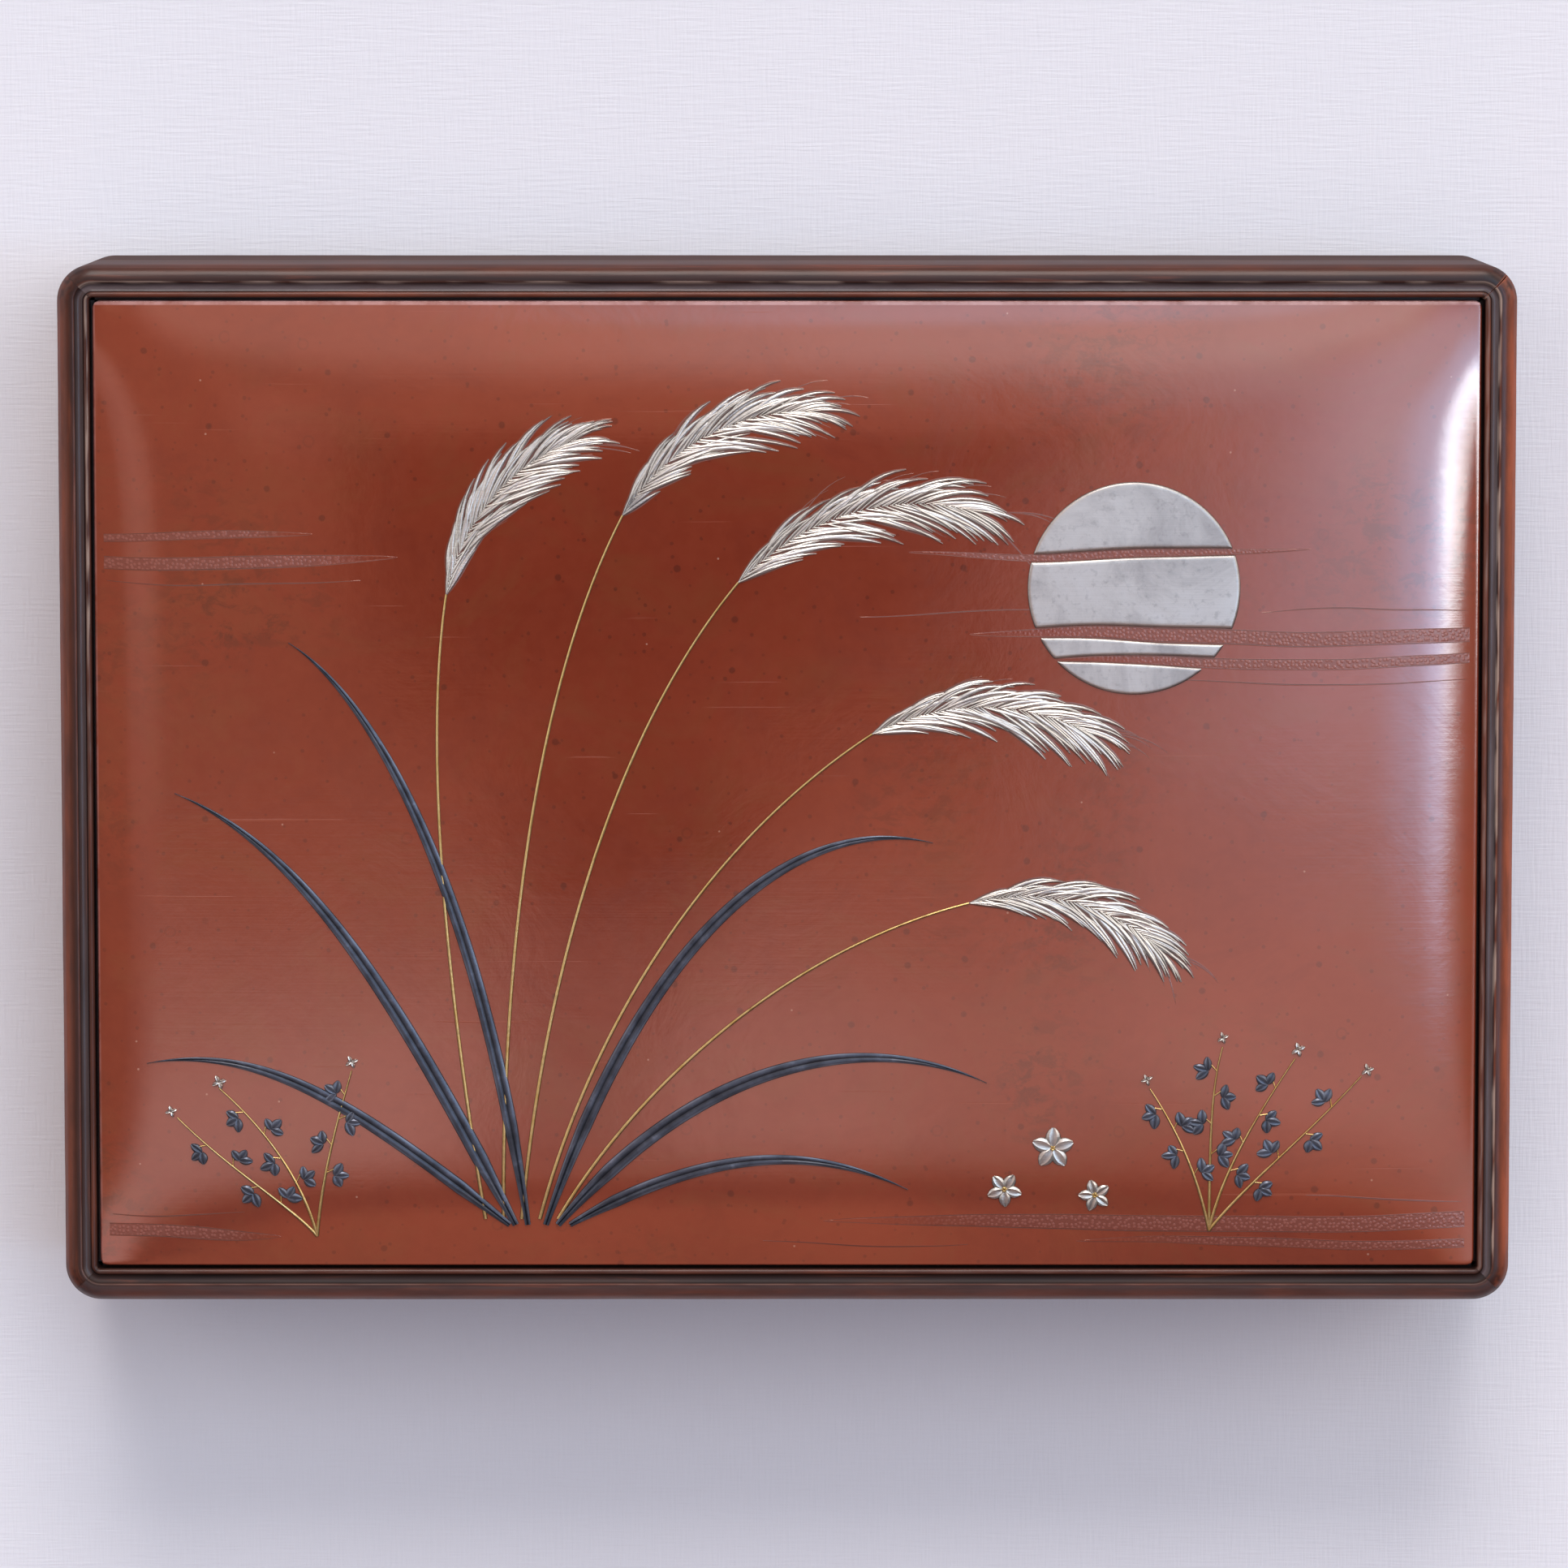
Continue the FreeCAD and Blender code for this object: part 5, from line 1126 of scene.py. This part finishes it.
def make_side(name, side, profile, mat, body, slot, node, open_end=0.0, gap=0.03, seed=0.0, brown=1.0, ridge_highlight=0.0, bead=1.0,
              dust_and_sheen_amount=0.0, beaded=1.0, film_and_sheen=0.0):
    """Sweeps the profile along one side and half way round each corner, and closes it on the mitres.
    open_end is how far the mitre at the end with along > 0 (or < 0 if negative) has opened."""
    length = L if side in ("front", "back") else W
    straight = length / 2 - R
    stations = []  # (turn in degrees signed, along at the axis)
    for a in (45, 44.0, 41, 36, 30, 24, 18, 12, 6):
        stations.append((-a, -straight))
    n = int(2 * straight / 1.6)
    stations += [(0.0, -straight + 2 * straight * k / n) for k in range(n + 1)]
    for a in (6, 12, 18, 24, 30, 36, 41, 44.0, 45):
        stations.append((a, straight))
    verts, wear, raw_and_highlight, dust_and_sheen, matte, grain, loops = [], [], [], [], [], [], []
    for i, (turn, axis) in enumerate(stations):
        phi = math.radians(turn)
        sgn = 1 if turn > 0 else -1
        loop = []
        end = abs(turn) > 44.9
        near = abs(turn) > 43.0
        this_gap = gap
        if open_end and (turn > 0) == (open_end > 0) and turn != 0:
            this_gap = abs(open_end)
        for j, (u, z, w, rub) in enumerate(profile):
            if u <= R:
                along = axis + (R - u) * math.sin(phi)
                inward = R - (R - u) * math.cos(phi)
            else:
                along = axis - sgn * (u - R) * abs(math.tan(phi)) if turn else axis
                inward = u
            pull = 0.0
            if end:
                uneven = 0.5 + 0.5 * noise.noise(Vector((z * 0.5, u * 0.9, seed + turn)))
                pull = this_gap * (0.55 + 0.45 * uneven) if this_gap > 0.1 else this_gap
                if this_gap > 0.1:
                    pull *= 0.35 + 0.65 * smooth(34.0, 50.0, z)
            along -= sgn * pull * math.sqrt(0.5)
            # soft unevenness of hand-worked faces
            dent = 0.0
            if z > 27.6 or z < 26.4:
                dent = 0.035 * noise.noise(Vector((axis / 17.0 + seed, z / 9.0, u / 3.0))) + 0.014 * noise.noise(Vector((axis / 4.0, z / 5.0 + seed, u)))
            if u < 0.5 and not end:
                inward += max(0.0, dent + 0.02)
            x, y = place_on(side, along, inward)
            zz = z
            if z > 48.5 and u < 5.5:
                zz = z - 0.03 + 0.03 * noise.noise(Vector((axis / 22.0, u, seed + 3)))
            loop.append(len(verts))
            verts.append((x, y, zz))
            # the brown of worn lacquer, scaled per side by brown, which also paints the light and shade each side gets:
            # browner on the right, darker at the back
            worn = w * (beaded if u > 4.3 else brown) * (0.72 + 0.28 * smooth(-0.35, 0.45, noise.noise(Vector((axis / 11.0, u * 0.7, seed + 9)))))
            corner = smooth(straight - 5.0, straight + 3.5, abs(axis) + abs(phi) * R)
            if z > 30:  # grime gathers round the lid's mitres, broken here and there
                worn *= 1.0 - corner * (0.45 + 0.40 * smooth(-0.1, 0.3, noise.noise(Vector((axis / 1.3 + turn / 9.0, u * 1.5, seed + 51)))))
            if near:
                worn = min(1.0, worn + (0.75 if this_gap > 0.1 else 0.0) * (1.0 if u < 5.5 and z > 30 else 0.3))
            wear.append(worn)
            # pale bare wood where the bead is rubbed through, and a painted highlight along the ridge of the right and
            # back rails
            rubbed_and_highlight = rub * bead if u > 4.3 else rub
            if 2.7 < u < 3.2 and z > 49.5:
                rubbed_and_highlight += ridge_highlight
            if bead < 0:  # a bead rubbed only along the half nearest the far end
                rubbed_and_highlight = abs(rubbed_and_highlight) * smooth(-0.2, 0.5, -axis / straight) if u > 4.3 else rubbed_and_highlight
            raw_and_highlight.append(rubbed_and_highlight * smooth(-0.25, 0.35, noise.noise(Vector((axis / 5.0, u * 2.0, seed + 31)))))
            hollow = math.exp(-((u - 3.72) / 0.62) ** 2) if z > RAIL_TOP - 0.9 and 3.0 < u < 4.5 else 0.0
            # dust in the cove with a painted grey sheen, and on the front roundover a painted grey sheen
            dust_and_sheen.append(max(hollow * dust_and_sheen_amount, film_and_sheen if u < 2.6 and z > 44.0 else 0.0))
            matte.append(1.0 - smooth(47.4, 49.4, z) if u < 2.6 else (film_and_sheen * 3.0 if 2.6 < u < 4.5 and z > 48.5 else 0.0))
            grain.append((axis * MM + sgn * abs(phi) * 0.004, u * MM, z * MM))
        loops.append(loop)
    faces = []
    for a, b in zip(loops, loops[1:]):
        m = len(a)
        for k in range(m):
            q = (k + 1) % m
            faces.append((a[k], a[q], b[q], b[k]))
    # the mitre faces: own points, so that bare wood shows where a joint has opened
    for loop, flip in ((loops[0], True), (loops[-1], False)):
        own = []
        wood = 0.8 if open_end and (open_end < 0) == flip else 0.05
        for i in loop:
            own.append(len(verts))
            verts.append(verts[i])
            wear.append(0.0)
            raw_and_highlight.append(wood)
            dust_and_sheen.append(0.0)
            matte.append(1.0)
            grain.append(grain[i])
        faces.append(tuple(own if flip else reversed(own)))
    ob = build(name, verts, faces, mat, body, slot, [node], sharp=38.0, floats={"wear": wear, "raw_and_highlight": raw_and_highlight, "dust_and_sheen": dust_and_sheen, "matte": matte},
               vectors={"grain": grain})
    me = ob.data
    import bmesh
    bm = bmesh.new()
    bm.from_mesh(me)
    bmesh.ops.remove_doubles(bm, verts=bm.verts, dist=1e-7)
    bmesh.ops.recalc_face_normals(bm, faces=bm.faces)
    bm.to_mesh(me)
    bm.free()
    me.set_sharp_from_angle(angle=math.radians(38.0))
    return ob


SIDE_WEAR_AND_LIGHT = {  # how brown, which also paints light and shade: browner on the right, darker at the back; how far the ridge is painted pale as a highlight and the bead is rubbed; how much dust and painted sheen lies in the hollow; how brown the bead is
    "front": (0.64, 0.0, 0.10, 0.0, 0.60), "right": (1.35, 0.65, 0.35, 0.80, 1.00),
    "back": (0.26, 0.40, 0.10, 0.95, 1.30), "left": (0.66, 0.0, -1.1, 0.40, 0.50)}
for index, side in enumerate(("front", "right", "back", "left")):
    opened = {"right": 0.30, "back": -0.30}.get(side, 0.0)
    brown, ridge_highlight, bead, dust_and_sheen, beaded = SIDE_WEAR_AND_LIGHT[side]
    make_side("rail_" + side, side, lid_profile(), FRAME, "lid", "frame_lacquer", "lid_rail_" + side, opened, seed=index * 5.3,
              brown=brown, ridge_highlight=ridge_highlight, bead=bead, dust_and_sheen_amount=dust_and_sheen, beaded=beaded,
              film_and_sheen=0.30 if side == "front" else 0.0)
    # the walls take the rails' side browns and are less brown at the back: wear together with painted light and shade
    make_side("wall_" + side, side, wall_profile(), WALL, "base", "frame_lacquer", "base_wall_" + side, seed=20 + index * 3.1,
              brown=min(1.0, max(brown, 0.6) * 1.1) if side != "back" else 0.3)


# ------------------------------------------------------------------ brushes
def lathe(name, profile, axis_at, mat, body, slot, node, around=40, node_attr=None, sharp=40.0, key="node", wobble=None):
    """Turns (x, r) pairs round a line along X through axis_at."""
    verts, faces, vals = [], [], []
    rings = []
    for i, (x, r) in enumerate(profile):
        ring = []
        if r < 1e-6:
            ring = [len(verts)]
            verts.append((axis_at[0] + x, axis_at[1], axis_at[2]))
            vals.append(node_attr(x) if node_attr else 0.0)
        else:
            for k in range(around):
                a = 2 * math.pi * k / around
                rr = r * (1 + (wobble(x, a) if wobble else 0.0))
                ring.append(len(verts))
                verts.append((axis_at[0] + x, axis_at[1] + rr * math.cos(a), axis_at[2] + rr * math.sin(a)))
                vals.append(node_attr(x) if node_attr else 0.0)
        rings.append(ring)
    for a, b in zip(rings, rings[1:]):
        if len(a) == 1 and len(b) == 1:
            continue
        for k in range(around):
            q = (k + 1) % around
            if len(a) == 1:
                faces.append((a[0], b[q], b[k]))
            elif len(b) == 1:
                faces.append((a[k], a[q], b[0]))
            else:
                faces.append((a[k], a[q], b[q], b[k]))
    return build(name, verts, faces, mat, body, slot, [node], sharp=sharp, floats={key: vals})


BRUSHES = [
    ("large", -61.0, 3.4, 98.0, 118.0, 28.0, 4.9, 3.7, 42.0, 9.0, (-34.0, -79.0)),
    ("small", -45.0, 2.8, 92.0, 108.0, 23.0, 4.2, 3.1, 36.0, 8.0, (-29.0, -71.0)),
]
for word, y, r, butt, hl, hair_len, cap_r, cap_bore, cap_len, over, rings_at in BRUSHES:
    at = (butt, y, 16.4)

    def ringed(x, spots, size, width=0.9):
        return sum(math.exp(-((x - s) / width) ** 2) for s in spots) * size

    xs = [-hl + 0.4 + (hl - 2.0) * k / 150 for k in range(151)]
    prof = [(-hl, 0.0), (-hl, r - 0.5)]
    for x in xs:
        prof.append((x, r - 0.16 + ringed(x, rings_at, 0.14) - ringed([x][0] + 1.3, rings_at, 0.10)))
    prof += [(-0.9, r - 0.22), (-0.35, r - 0.55), (-0.08, r - 1.05), (0.0, r - 1.6), (0.0, 0.0)]
    lathe("brush_%s_stick" % word, prof, at, BAMBOO, "brush_" + word, "bamboo", "brush_%s_handle" % word,
          node_attr=lambda x, s=rings_at: min(1.0, ringed(x, s, 1.0, 0.5) + 0.7 * smooth(-1.6, -0.4, x)))
    # hair, ridged like a bundle of fibres
    hp = [(-hl, 0.0)]
    n = 34
    for k in range(n + 1):
        q = k / n
        x = -hl - hair_len * q
        body_r = (r - 0.62) * (1 - 0.10 * math.sin(math.pi * min(1.0, q * 2.2)) * 0 - q ** 2.6) + 0.02
        hp.append((x, max(body_r, 0.0) if k < n else 0.0))
    lathe("brush_%s_tuft" % word, hp, at, HAIR, "brush_" + word, "hair", "brush_%s_hair" % word, around=64,
          node_attr=lambda x, a=hl, b=hair_len: smooth(0.72, 1.0, (-x - a) / b) * 0.6, key="tip",
          wobble=lambda x, a: 0.025 * math.sin(a * 16 + x * 0.2) + 0.015 * math.sin(a * 9 + 1))
    mouth = hl - over
    cp = [(-(mouth + cap_len), 0.0), (-(mouth + cap_len), cap_r - 1.3), (-(mouth + cap_len) + 0.25, cap_r - 0.7),
          (-(mouth + cap_len) + 0.9, cap_r - 0.2)]
    for k in range(60):
        x = -(mouth + cap_len) + 1.6 + (cap_len - 2.4) * k / 59
        cp.append((x, cap_r - 0.10 + ringed(x, [-(mouth + cap_len) + 7.0], 0.08)))
    cp += [(-mouth - 0.3, cap_r - 0.12), (-mouth, cap_r - 0.35), (-mouth, cap_bore + 0.12), (-mouth - 0.2, cap_bore)]
    cp += [(-(mouth + cap_len * 0.5), cap_bore), (-(mouth + cap_len - 2.4), cap_bore), (-(mouth + cap_len - 2.2), cap_bore - 0.4), (-(mouth + cap_len - 2.2), 0.0)]
    lathe("brush_%s_sheath" % word, cp, at, BAMBOO, "brush_%s_cap" % word, "bamboo", "brush_%s_cap" % word,
          node_attr=lambda x, c=-(mouth + cap_len) + 7.0: min(1.0, math.exp(-((x - c) / 0.5) ** 2)))


# ------------------------------------------------------------------ gilding on the ink stick, chasing on the water dropper
def ring_path(cx, cy, hx, hy, r, n=8):
    pts = []
    for ex, ey, a0 in ((1, -1, -90), (1, 1, 0), (-1, 1, 90), (-1, -1, 180)):
        for k in range(n + 1):
            a = math.radians(a0 + 90 * k / n)
            pts.append((cx + ex * (hx - r) + r * math.cos(a), cy + ey * (hy - r) + r * math.sin(a)))
    return pts


def closed_strip(soup, path, half, section, high, level):
    """A closed strip that runs round a loop lying on a level face."""
    n = len(path)
    loops, verts, groove = [], [], []
    for i in range(n):
        x0, y0 = path[i - 1]
        x1, y1 = path[(i + 1) % n]
        m = math.hypot(x1 - x0, y1 - y0) or 1.0
        nx, ny = -(y1 - y0) / m, (x1 - x0) / m
        loop = []
        for u, k, g in section:
            loop.append(len(verts))
            verts.append((path[i][0] + nx * half * u, path[i][1] + ny * half * u, level + high * k + 0.003))
            groove.append(g)
        for u in (0.96, -0.96):
            loop.append(len(verts))
            verts.append((path[i][0] + nx * half * u, path[i][1] + ny * half * u, level - 0.05))
            groove.append(1.0)
        loops.append(loop)
    faces = []
    for i in range(n):
        a, b = loops[i], loops[(i + 1) % n]
        m = len(a)
        for k in range(m):
            q = (k + 1) % m
            faces.append((a[k], b[k], b[q], a[q]))
    soup.add(verts, faces, groove=groove)


FLAT = [(-1.0, 0.0, 0.3), (-0.7, 1.0, 0.0), (0.0, 1.0, 0.0), (0.7, 1.0, 0.0), (1.0, 0.0, 0.3)]


def make_gilding():
    soup = Soup("groove", "crest")
    cx, cy, level = 74.0, -1.0, 20.0
    closed_strip(soup, ring_path(cx, cy, 25.4, 3.95, 0.9), 0.20, FLAT, 0.05, level)
    on = lambda x, y: level
    for k in range(3):      # a sprig with three small blossoms, and grass lines
        bx, by = cx - 15.0 + k * 7.5, cy - 0.6 + (0.9 if k % 2 else -0.5)
        for j in range(5):
            a = 0.3 * k + 2 * math.pi * j / 5
            path = [(bx + math.cos(a) * (0.25 + 1.15 * q / 6), by + math.sin(a) * (0.25 + 1.15 * q / 6)) for q in range(7)]
            strip(soup, path, lambda t: max(0.03, 0.42 * math.sin(math.pi * min(0.96, 0.08 + 0.9 * t)) ** 0.7), FLAT, 0.05,
                  under=-0.05, base=on)
    stem = [(cx - 19.5 + 30.0 * q / 40, cy - 1.6 + 1.1 * math.sin(q / 7.0)) for q in range(41)]
    strip(soup, stem, 0.11, FLAT, 0.04, under=-0.05, base=on)
    for k in range(5):
        x0 = cx + 13.0 + k * 1.9
        blade = [(x0 + 1.7 * (q / 12) ** 2, cy - 3.0 + (4.4 + 0.5 * math.sin(k * 2.1)) * q / 12) for q in range(13)]
        strip(soup, blade, lambda t: 0.17 * (1 - t) + 0.03, FLAT, 0.04, under=-0.05, base=on)
    soup.make("ink_gilding", GOLD, body="ink", slot="ink")
    cut = Soup("groove", "crest")
    cx, cy, level = 74.0, 42.0, 24.6
    closed_strip(cut, ring_path(cx, cy, 23.6, 23.6, 4.6), 0.22, GROOVE, 0.03, level)
    closed_strip(cut, ring_path(cx, cy, 22.7, 22.7, 3.9), 0.12, GROOVE, 0.02, level)
    on = lambda x, y: level
    for row in range(4):    # rows of small waves in two opposite corners
        for k in range(5 - row):
            for wx, wy, turn in ((cx - 20.5, cy - 20.5, 1.0), (cx - 20.5 + 0.0, cy + 20.5, -1.0)):
                ox, oy = wx + 2.3 + 4.2 * k + 2.1 * row, wy + turn * (0.6 + 2.3 * row)
                for r in (1.95, 1.25):
                    loop = [(ox + r * math.cos(math.pi * q / 12), oy + turn * r * math.sin(math.pi * q / 12)) for q in range(13)]
                    strip(cut, loop, 0.13, GROOVE, 0.02, under=-0.05, base=on)
    cut.make("dropper_chasing", BRONZE, body="dropper", slot="dropper_metal")


make_gilding()


# ------------------------------------------------------------------ CAD solids that stay, with their finish
def crease(low, high):
    """Node group that keeps edges sharp whose faces meet at an angle between low and high degrees."""
    g = bpy.data.node_groups.new("crease", "GeometryNodeTree")
    g.interface.new_socket("Geometry", in_out="INPUT", socket_type="NodeSocketGeometry")
    g.interface.new_socket("Geometry", in_out="OUTPUT", socket_type="NodeSocketGeometry")
    first, last = g.nodes.new("NodeGroupInput"), g.nodes.new("NodeGroupOutput")
    angle = g.nodes.new("GeometryNodeInputMeshEdgeAngle")
    both = g.nodes.new("FunctionNodeBooleanMath")
    both.operation = "AND"
    for k, (kind, limit) in enumerate((("GREATER_THAN", low), ("LESS_THAN", high))):
        c = g.nodes.new("FunctionNodeCompare")
        c.data_type, c.operation = "FLOAT", kind
        g.links.new(angle.outputs[0], c.inputs[0])
        c.inputs[1].default_value = math.radians(limit)
        g.links.new(c.outputs[0], both.inputs[k])
    mark = g.nodes.new("GeometryNodeSetShadeSmooth")
    mark.domain = "EDGE"
    mark.inputs["Shade Smooth"].default_value = False
    g.links.new(first.outputs[0], mark.inputs[0])
    g.links.new(both.outputs[0], mark.inputs["Selection"])
    g.links.new(mark.outputs[0], last.inputs[0])
    return g


def dress(node, mat, bevel=0.0, segments=2, angle=40.0, creased=None):
    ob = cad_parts[node]
    me = ob.data
    me.materials.clear()
    me.materials.append(mat)
    if bevel:
        weld = ob.modifiers.new("weld", "WELD")
        weld.merge_threshold = 0.00001
        if creased:
            ob.modifiers.new("creases", "NODES").node_group = crease(*creased)
        b = ob.modifiers.new("soft_edges", "BEVEL")
        b.width = bevel * MM
        b.segments = segments
        b.limit_method = "ANGLE"
        b.angle_limit = math.radians(angle)
        b.harden_normals = True
        w = ob.modifiers.new("flat_faces", "WEIGHTED_NORMAL")
        w.mode = "FACE_AREA"
        w.weight = 100
        w.keep_sharp = True
    return ob


for side in ("front", "back"):
    dress("liner_" + side, INNER_X, 0.25)
for side in ("left", "right"):
    dress("liner_" + side, INNER_Y, 0.25)
dress("bottom_board", INNER_X, 0.3)
dress("lid_backing_board", INNER_X, 0.25)
dress("lid_backing_pins", PIN, 0.15)
dress("bottom_pegs", BAMBOO)
dress("lid_mitre_splines", PALE_WOOD, 0.1)
dress("base_mitre_splines", PALE_WOOD, 0.1)
for tag in ("front_left", "front_right", "back_left", "back_right"):
    dress("foot_" + tag, FOOT, 0.25)
dress("insert_board", TRAY, 0.3)
dress("brush_rest_left", TRAY, 0.25)
dress("brush_rest_right", TRAY, 0.25)
dress("inkstone", STONE, 0.35, creased=(16.6, 17.7))  # the slope from the field down into the well
dress("dropper_cup", BRONZE, 0.15)
dress("dropper_cover", BRONZE, 0.15)
dress("ink_stick", INK, 0.25)

# ------------------------------------------------------------------ floor
floor = build("floor", [(-1600, -1600, 0), (1600, -1600, 0), (1600, 1600, 0), (-1600, 1600, 0)], [(0, 1, 2, 3)], floor_cloth("floor_cloth"))
